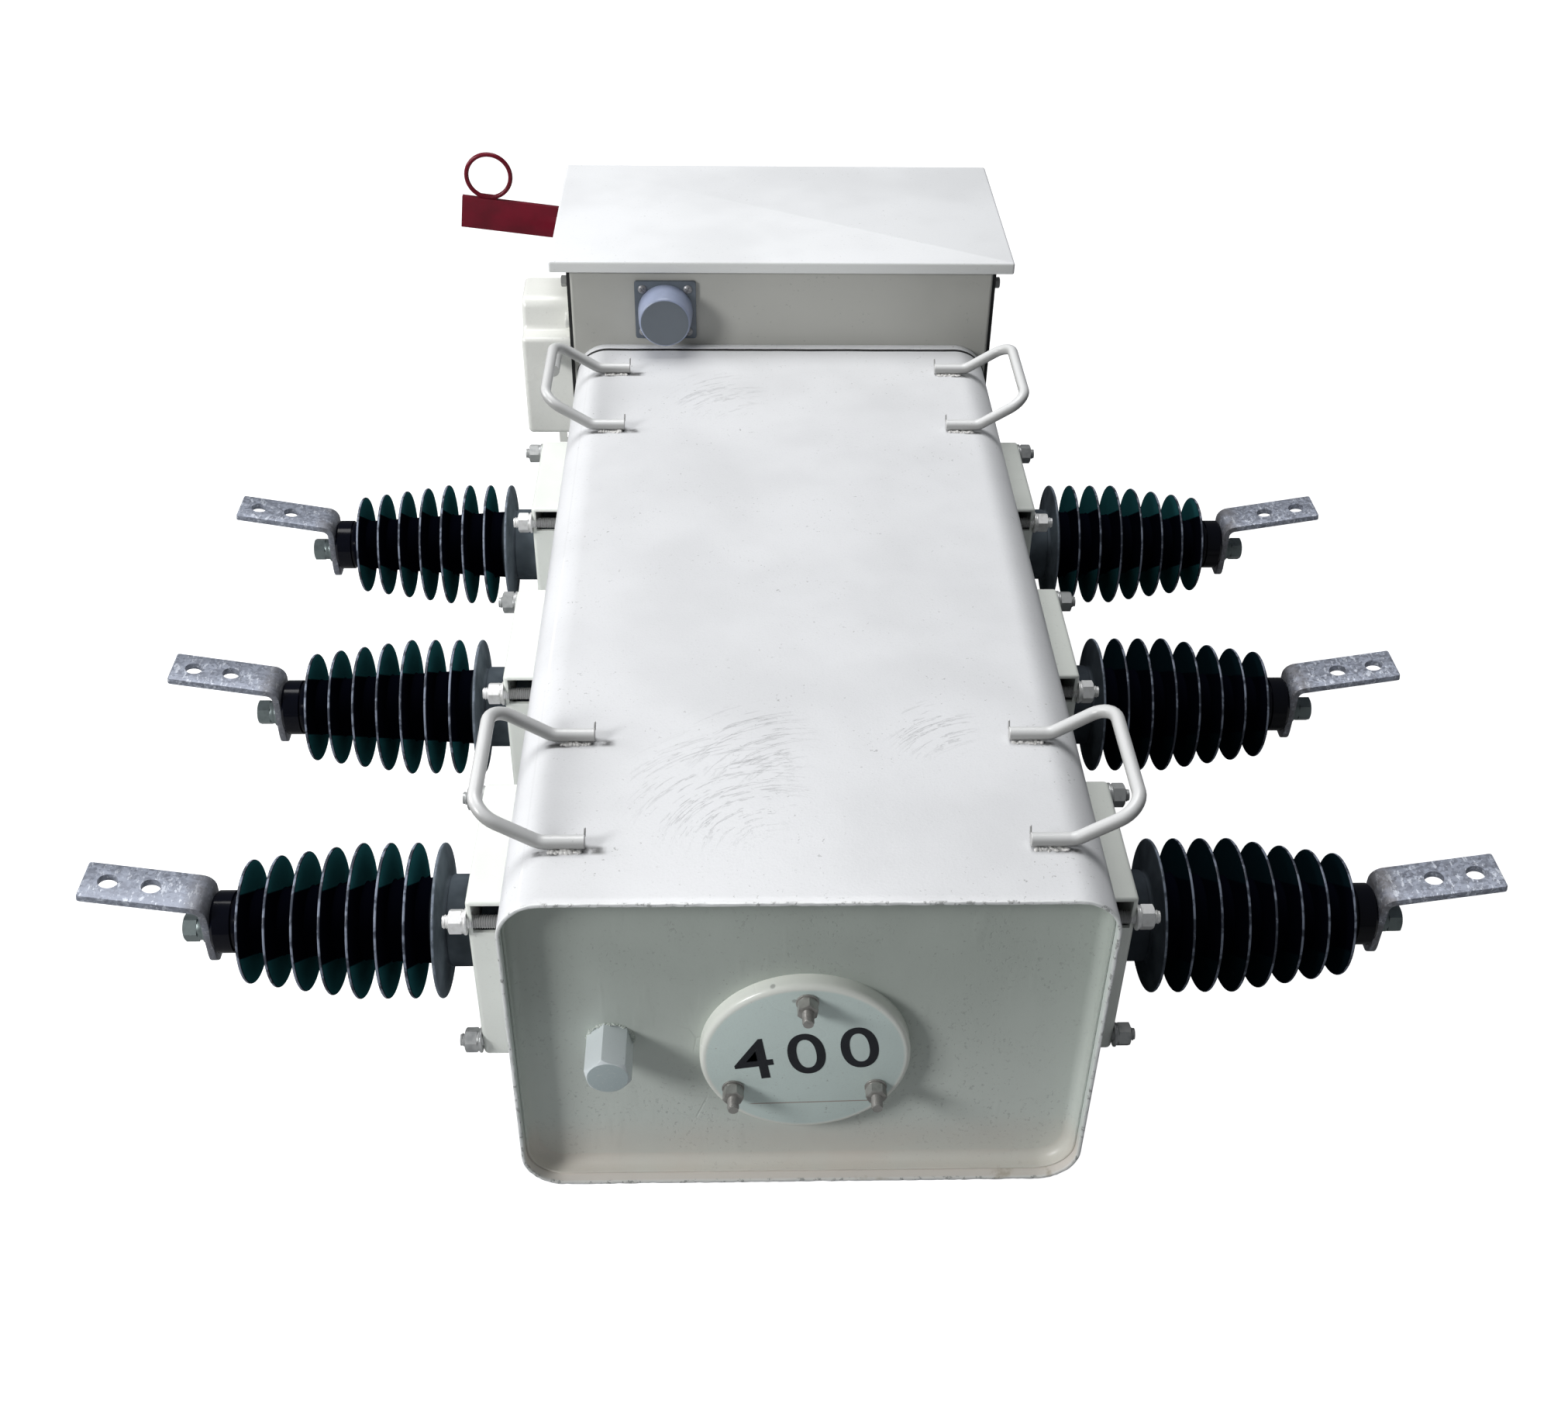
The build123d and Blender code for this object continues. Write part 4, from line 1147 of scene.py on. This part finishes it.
def number():
    words = bpy.data.curves.new("figures", "FONT")
    words.body = "400"
    words.align_x, words.align_y = "CENTER", "CENTER"
    words.size = FIGURE_SIZE * MM
    words.space_character = 1.28
    words.offset = 0.35 * MM
    words.extrude = 0.1 * MM
    mesh = flattened(linked("figures", words))
    upright = Matrix.Rotation(FIGURE_SLOPE, 4, "Y") @ Matrix.Rotation(math.pi / 2, 4, "X")
    mesh.transform(Matrix.Translation(FIGURES_AT * MM) @ upright)
    piece("figures", mesh, BLACK_PAINT)
    print("figures:", len(mesh.polygons), "faces")


number()

# %% [markdown]
# ## Clamps
#
# Each bushing is held by a folded square pan with four studs. Its front wall is cut away
# below the top fold, and through this notch the thread of the upper stud shows. Two nested
# skins of rings make the sheet, with the faces of the notch left out and its edges closed.

# %% Clamps and their nuts
SHEET, CLAMP_BEND, CLAMP_CORNER, CLAMP_WALL = 3.0, 4.0, 2.5, 15.0
CLAMP_HALF, CLAMP_FOOT, CLAMP_HEAD, CLAMP_FACE = 67.0, 47.5, 211.0, 246.0
NOTCH_HEIGHTS = {"front": 27.0, "middle": 25.0, "rear": 21.5}
NUT_OFF, LOWER_NUTS, FAR_NUTS = 63.5, 60.8, 198.5
UPPER_NUTS = {"front": 189.0, "middle": 191.3, "rear": 193.5}
HOLE = 36.6
CLAMP_NUT = (17.0, 9.6, 10.0, 1.7, 1.9, 5.0, 1.75)


def clamp_ring(levels, centre_y, way, out, inset, hole=False):
    """One ring of a clamp: up the notched wall by the levels, then round the other walls."""
    radius = max(CLAMP_CORNER - inset * 0.6, 0.8)
    reach = CLAMP_HALF - inset - radius
    near_y, far_y = centre_y - reach, centre_y + reach
    foot, head = CLAMP_FOOT + inset + radius, CLAMP_HEAD - inset - radius
    points = [(near_y - radius, min(max(z, foot), head)) for z in levels]
    centres = ((near_y, head), (far_y, head), (far_y, foot), (near_y, foot))
    for index, (y, z) in enumerate(centres):
        bend = arc(y, z, radius, 180 - 90 * index, -90)
        points += (between(points[-1], bend[0], 16) if index else []) + bend
    if hole:
        arms = [Vector((y - centre_y, z - BUSHING_LEVEL)).normalized() * HOLE for y, z in points]
        points = [(centre_y + arm.x, BUSHING_LEVEL + arm.y) for arm in arms]
    return [sided((out, y, z), way) for y, z in points]


def clamp(node, way, notch_height):
    """A folded pan open to the tank: two skins, a round hole and a notch in front."""
    low, high = measure(node)
    root, face = min(abs(low.x), abs(high.x)), CLAMP_FACE
    notch_top = CLAMP_HEAD - SHEET
    notch_foot = notch_top - notch_height
    levels = sorted({CLAMP_FOOT + 8 * step for step in range(1, 17)} | {notch_foot, notch_top})
    stations = [(root, 0.0), (root + CLAMP_WALL, 0.0)]
    stations += [(face - draw, inset) for draw, inset in fillet(CLAMP_BEND, 5)]
    stations += [(face, 0, True), (face - SHEET, 0, True), (face - SHEET, CLAMP_BEND)]
    stations += [(face - CLAMP_BEND, SHEET), (root + CLAMP_WALL, SHEET), (root, SHEET)]
    rings = [clamp_ring(levels, middle(node).y, way, *station) for station in stations]
    first, last, end = levels.index(notch_foot), levels.index(notch_top), len(rings) - 1

    def kept(ring, step):
        return not (first <= step < last and (ring < 2 or ring >= end - 2))

    shape, grid = lattice(rings, True, kept)
    walls = [(grid[index], grid[end - index]) for index in range(3)]
    for (outer, inner), (next_outer, next_inner) in zip(walls, walls[1:]):
        for step in (first, last):
            shape.faces.new((outer[step], next_outer[step], next_inner[step], inner[step]))
    outer, inner = walls[2]
    for step in range(first, last):
        shape.faces.new((outer[step], outer[step + 1], inner[step + 1], inner[step]))
    piece(node + "_pan", from_bmesh(node, shape), PAINT["clamp"], node)


through_nuts, short_nuts = [], []
for side, way in SIDES.items():
    for place in PLACES:
        node = f"clamp_{side}_{place}"
        clamp(node, way, NOTCH_HEIGHTS[place])
        for y, z, nuts in (
            (-NUT_OFF, UPPER_NUTS[place], through_nuts), (NUT_OFF, FAR_NUTS, short_nuts),
            (-NUT_OFF, LOWER_NUTS, short_nuts), (NUT_OFF, LOWER_NUTS, short_nuts),
        ):
            nuts.append((Vector((way * CLAMP_FACE, middle(node).y + y, z)), X * way))
through, short = nut(*CLAMP_NUT, -35.5, 18.0), nut(*CLAMP_NUT, -1.0, 17.0)
fixings("through_nuts", through_nuts, PALE_ZINC, "clamp_studs", through, 5)
fixings("short_nuts", short_nuts, GREY_ZINC, None, short, 6)

# %% [markdown]
# ## Bushings
#
# A bushing is one outline spun about its axis: flange, collar, then eight thin sheds on a
# tapering core. The rim of each shed is a small half round and its root has a fillet, so the
# highlights run as thin lines, as they do in the photograph.
# The insulator's finish also paints a pale highlight along each rim.

# %% Bushings
SHED_RADII = (60.5, 60.5, 60.5, 60.5, 57.4, 54.3, 51.2, 48.1)
FIRST_SHED, SHED_STEP = 276.5, 21.25
RIM_HALF, ROOT_HALF = 1.5, 3.6
CORE_START, CORE_END, TIP_RADIUS, TIP_CHAMFER = 34.0, 23.0, 24.4, 2.5
TIP_FOOT, TIP_END = 436.85, 452.85
FLANGE = [(190, 0), (190, 30), (210, 30), (210, 50), (241, 50), (241, 36)]
COLLAR = [(268.5, 36), (269.6, 35.6), (270, 34.8), (270, 34)]


def core(out):
    share = (out - FIRST_SHED) / (TIP_FOOT - FIRST_SHED)
    return CORE_START + (CORE_END - CORE_START) * max(0.0, min(1.0, share))


def shed_side(at, sign, radius):
    """One side of a shed, from its fillet on the core to the middle of its rim."""
    fillets = ((1.8, 0.0), (0.7, 0.35), (0.0, 1.2), (-0.25, 3.0))
    outs = [(at + sign * (ROOT_HALF + wide), lift) for wide, lift in fillets]
    rim = [
        (at + sign * RIM_HALF * math.cos(a), radius - RIM_HALF + RIM_HALF * math.sin(a))
        for a in (0.0, 0.45, 0.9, 1.3)
    ]
    return [(out, core(out) + lift) for out, lift in outs] + rim


def bushing_outline():
    points = FLANGE + COLLAR
    for index, radius in enumerate(SHED_RADII):
        at = FIRST_SHED + SHED_STEP * index
        points += shed_side(at, -1, radius) + shed_side(at, 1, radius)[::-1]
    points += [(TIP_FOOT, core(TIP_FOOT)), (TIP_FOOT, TIP_RADIUS - 0.5)]
    points += [(TIP_FOOT + 0.5, TIP_RADIUS), (TIP_END - TIP_CHAMFER, TIP_RADIUS)]
    return points + [(TIP_END, TIP_RADIUS - TIP_CHAMFER), (TIP_END, 0)]


OUTLINE = bushing_outline()
for side, way in SIDES.items():
    for place in PLACES:
        node = f"bushing_{side}_{place}"
        origin = Vector((0, middle(node).y, middle(node).z))
        mesh = turned(node, OUTLINE, origin, X * way, 96)
        piece(node + "_skin", mesh, INSULATOR, node)
print("bushings: 6 from an outline of", len(OUTLINE), "points")

# %% [markdown]
# ## Terminals
#
# The terminals are bent flat bars, dipped in zinc, each held by one bolt through its leg.

# %% Terminals and bolts
TERMINAL_WIDE, TERMINAL_THICK, TERMINAL_END, TERMINAL_BEND, EDGE = 38.0, 6.0, 5.0, 8.5, 0.8
KNEE, END_HOLES, HOLE_RADIUS, FOOT_CORNER, PAD_CORNER = 156.0, (18.5, 50.5), 7.5, 12.0, 2.5
TERMINAL_TILT, END_GAP = math.radians(10), 0.6
FOOT_STOPS, PAD_STOPS = (0.0, 0.8, 2.0, 4.0, 7.0, 12.0), (2.5, 1.2, 0.4, 0.0)
BOLT_FACE, BOLT_LEVEL = 458.85, 122.5
TERMINAL_BOLT = nut(20.0, 11.0, 12.5, 3.6, 4.6, 6.0, 1.75, -12.0, 14.0)


def half_width(distance, corner):
    """Half the bar's width at a distance from an end with rounded corners."""
    inside = max(0.0, corner - distance)
    return TERMINAL_WIDE / 2 - corner + math.sqrt(max(0.0, corner ** 2 - inside ** 2))


def terminal(node, way):
    """A flat bar swept round its bend, with two holes cut by a Boolean."""
    low, high = measure(node)
    tip, end = sorted((abs(low.x), abs(high.x)))
    leg = tip + TERMINAL_THICK / 2
    pad = Vector((math.cos(TERMINAL_TILT), 0, math.sin(TERMINAL_TILT)))
    foot, knee = (Vector((leg, middle(node).y, z)) for z in (low.z, KNEE))
    far = knee + pad * ((end - leg - END_GAP) / pad.x)
    bent = rounded([foot, knee, far], (TERMINAL_BEND,), 10)[1:-1]
    points = [foot.lerp(knee, stop / (knee - foot).length) for stop in FOOT_STOPS]
    points += bent + [far - pad * stop for stop in PAD_STOPS]
    halves = [half_width(stop + 0.4, FOOT_CORNER) for stop in FOOT_STOPS]
    halves += [TERMINAL_WIDE / 2] * len(bent)
    halves += [half_width(stop + 0.2, PAD_CORNER) for stop in PAD_STOPS]
    thicks = [TERMINAL_END / 2, *[TERMINAL_THICK / 2] * (len(points) - 2), TERMINAL_END / 2]
    rings = []
    for point, along, wide, thick in zip(points, headings(points), halves, thicks):
        through = along.cross(Y)
        section = round_corners(-wide, wide, -thick, thick, EDGE, 2)
        rings.append([sided(point + Y * y + through * z, way) for y, z in section])
    cutter = bmesh.new()
    turn = pad.cross(Y).to_track_quat("Z", "Y").to_matrix().to_4x4()
    for back in END_HOLES:
        bmesh.ops.create_cone(
            cutter, cap_ends=True, segments=40, radius1=HOLE_RADIUS, radius2=HOLE_RADIUS,
            depth=20, matrix=Matrix.Translation(far - pad * back) @ turn,
        )
    for vertex in cutter.verts:
        vertex.co = sided(vertex.co, way)
    tool = linked("hole_cutter", from_bmesh("hole_cutter", cutter))
    holder = linked(node, skin(node, rings))
    cut = holder.modifiers.new("holes", "BOOLEAN")
    cut.operation, cut.solver, cut.object = "DIFFERENCE", "EXACT", tool
    piece(node + "_bar", flattened(holder, tool), SPANGLED, node)


terminal_bolts = []
for side, way in SIDES.items():
    for place in PLACES:
        node = f"terminal_{side}_{place}"
        terminal(node, way)
        terminal_bolts.append((Vector((way * BOLT_FACE, middle(node).y, BOLT_LEVEL)), X * way))
fixings("terminal_bolt_heads", terminal_bolts, DARK_ZINC, "terminal_bolts", TERMINAL_BOLT, 11)

# %% [markdown]
# ## Lifting handles
#
# Each handle is one round bar with two feet along the tank top, bent up and over the side.
# Beads of weld run unevenly along both sides of each foot, and its sawn end has a burr.

# %% Handles and their welds
ROD, BURR, HANDLE_BEND = 5.0, 0.75, 183
HANDLE_RADII = (16, 18, 18, 16)
SEAM_OFF, SEAM_START, SEAM_END, SEAM_STEPS = 5.2, 4, 176, 8


def handle(node, way):
    """Make one handle with its burrs, and return its four seams."""
    low, high = measure(node)
    near_y, far_y = low.y + ROD, high.y - ROD
    level, crest = low.z + ROD, high.z - ROD
    inside, outside = sorted((abs(low.x), abs(high.x)))
    half = [(inside, level), (HANDLE_BEND, level), (outside - ROD, crest)]
    corners = [(x, near_y, z) for x, z in half] + [(x, far_y, z) for x, z in half[::-1]]
    route = rounded([sided(corner, way) / MM for corner in corners], HANDLE_RADII, 8)
    mesh = bar(node, [point * MM for point in route], ROD * MM, 24)
    piece(node + "_bar", mesh, PAINT["rod"], node)
    seams = []
    for index, y in enumerate((near_y, far_y)):
        foot = sided((inside + 0.4, y + 4.0, level + 1), way)
        tip = sided((inside - 0.2, y + 4.6, level + 9.0), way)
        name = f"{node}_burr_{index}"
        piece(name, bar(name, [foot, foot.lerp(tip, 0.6), tip], BURR * MM, 8), PAINT["rod"])
        for edge in (y - SEAM_OFF, y + SEAM_OFF):
            first, last = inside + SEAM_START, SEAM_END
            outs = [first + (last - first) * s / SEAM_STEPS for s in range(SEAM_STEPS + 1)]
            seams.append([(way * out, edge, TANK_TOP + 0.4) for out in outs])
    return seams


seams = []
for side, way in SIDES.items():
    for place in ("front", "rear"):
        seams += handle(f"handle_{side}_{place}", way)
welds("handle_welds", seams, 1.9, 2.1, PAINT["weld"])
print("handles: 4 with", len(seams), "seams")

# %% [markdown]
# ## Mechanism box
#
# The box is a front plate, a rubber gasket, a deep folded cover and a lipped roof. A control
# connector stands on the front plate with four cross-head screws, and a screw with its nut
# holds each side of the cover.

# %% Box, connector and screws
ROOF_SHEET, ROOF_CORNER, ROOF_FOLD = 2.0, 2.6, 2.4
CONNECTOR = middle("connector_flange")
SCREW_OFF, CROSS_SCREW = 22.8, {"radius": 4.4, "height": 2.6}
SIDE_NUT = nut(10.0, 5.0, 6.5, 1.2, 1.2, 3.0, 1.0, -1.0, 6.5)
SIDE_SCREW_AT = (436, 351)


def roof():
    """A lid folded down on four sides, its corners closed almost sharp."""
    low, high = measure("box_roof")
    stations = [
        (high.z - ROOF_SHEET, ROOF_SHEET + 1.5), (low.z + 0.4, ROOF_SHEET),
        (low.z, ROOF_SHEET - 0.4), (low.z, 0.5), (low.z + 0.5, 0),
    ]
    stations += [(high.z - drop, inset) for drop, inset in fillet(ROOF_FOLD, 4)]
    rings = []
    for level, inset in stations:
        left, right, front, back = low.x + inset, high.x - inset, low.y + inset, high.y - inset
        outline = round_corners(left, right, front, back, max(ROOF_CORNER - inset, 0.4), 4)
        rings.append([Vector((x, y, level)) * MM for x, y in outline])
    piece("roof", skin("roof", rings), PAINT["roof"], "box_roof")


def connector_cap():
    """A capped plug, a little tapered, with a soft edge and a shallow dished face."""
    low, high = measure("connector_cap")
    reach, wide = high.y - low.y, (high.x - low.x) / 2 + 0.5
    outline = [(0, 0), (0, wide), (1.5, wide + 0.2), (reach * 0.5, wide - 0.6)]
    outline += [(reach - 4, wide - 1.6)]
    outline += [(reach - along, wide - 1.8 - back) for along, back in fillet(3, 5)]
    outline += [(reach, wide * 0.5), (reach, 0)]
    origin = Vector((CONNECTOR.x, high.y, (low.z + high.z) / 2))
    mesh = turned("connector_cap", outline, origin, -Y, 72)
    piece("connector_cap_turned", mesh, CAP_GREY, "connector_cap")


roof()
softened("box_front_plate_skin", "box_front_plate", 0.7, PAINT["box"])
softened("box_cover_skin", "box_cover", 0.7, PAINT["housing"])
dress("box_gasket", RUBBER)
softened("connector_flange_skin", "connector_flange", 0.8, BLUE_GREY)
connector_cap()
flange_face = measure("connector_flange")[0].y
screws = [
    (Vector((CONNECTOR.x + dx, flange_face, CONNECTOR.z + dz)), -Y)
    for dx in (-SCREW_OFF, SCREW_OFF) for dz in (-SCREW_OFF, SCREW_OFF)
]
fixings("connector_screws", screws, BRIGHT, None, CROSS_SCREW, 4, CROSS)
cover_side = measure("box_cover")[1].x
sides = [(Vector((way * cover_side, *SIDE_SCREW_AT)), X * way) for way in (-1, 1)]
fixings("box_side_screws", sides, ZINC, None, SIDE_NUT, 2)

# %% Linkage housing, peg, bracket and boss
HOUSING_DROP, LEDGE, RISER, HOUSING_EDGE = 4.0, 298.0, 26.0, 5.0
HOUSING_RADII = (7, 5, 7, 13)
PEG_RADIUS = 7.0


def housing():
    """A stepped cover of folded sheet, its outer face joined to its front by soft bends."""
    low, high = measure("linkage_housing")
    foot, riser, top = low.z - HOUSING_DROP, low.y + RISER, high.z
    corners = [
        (high.y, foot), (low.y, foot), (low.y, LEDGE), (riser - 6, LEDGE + 1), (riser, top),
        (high.y, top),
    ]
    loop = rounded([Vector((0, y, z)) for y, z in corners], HOUSING_RADII, 8)
    inwards = [Vector((0, -along.z, along.y)) for along in headings(loop, closed=True)]
    stations = [(high.x, 0.0)]
    stations += [(low.x + draw, inset) for draw, inset in fillet(HOUSING_EDGE, 5)]
    rings = [
        [(X * x + point - inward * inset) * MM for point, inward in zip(loop, inwards)]
        for x, inset in stations
    ]
    piece("housing", skin("housing", rings), PAINT["housing"], "linkage_housing")


def peg():
    low, high = measure("housing_peg")
    reach, at = high.y - low.y, middle("housing_peg")
    outline = [
        (0, 0), (0, PEG_RADIUS + 0.8), (1.2, PEG_RADIUS), (reach - 0.8, PEG_RADIUS),
        (reach - 0.2, PEG_RADIUS - 0.3), (reach, PEG_RADIUS - 1.0), (reach, 0),
    ]
    mesh = turned("peg", outline, Vector((at.x, high.y, at.z)), -Y, 40)
    piece("peg", mesh, PAINT["rod"], "housing_peg")


housing()
peg()
softened("housing_bracket_skin", "housing_bracket", 0.6, PAINT["housing"])
softened("shaft_boss_skin", "shaft_boss", 0.8, PAINT["housing"])
print("housing, peg, bracket and boss are set")

# %% Lever, bearing and shaft
softened("lever_bearing_skin", "lever_bearing", 0.8, PAINT["box"])
softened("lever_shaft_skin", "lever_shaft", 0.6, ZINC, "lever")
softened("lever_skin", "operating_lever", 1.0, CRIMSON, "lever")
print("the lever rides on its own body")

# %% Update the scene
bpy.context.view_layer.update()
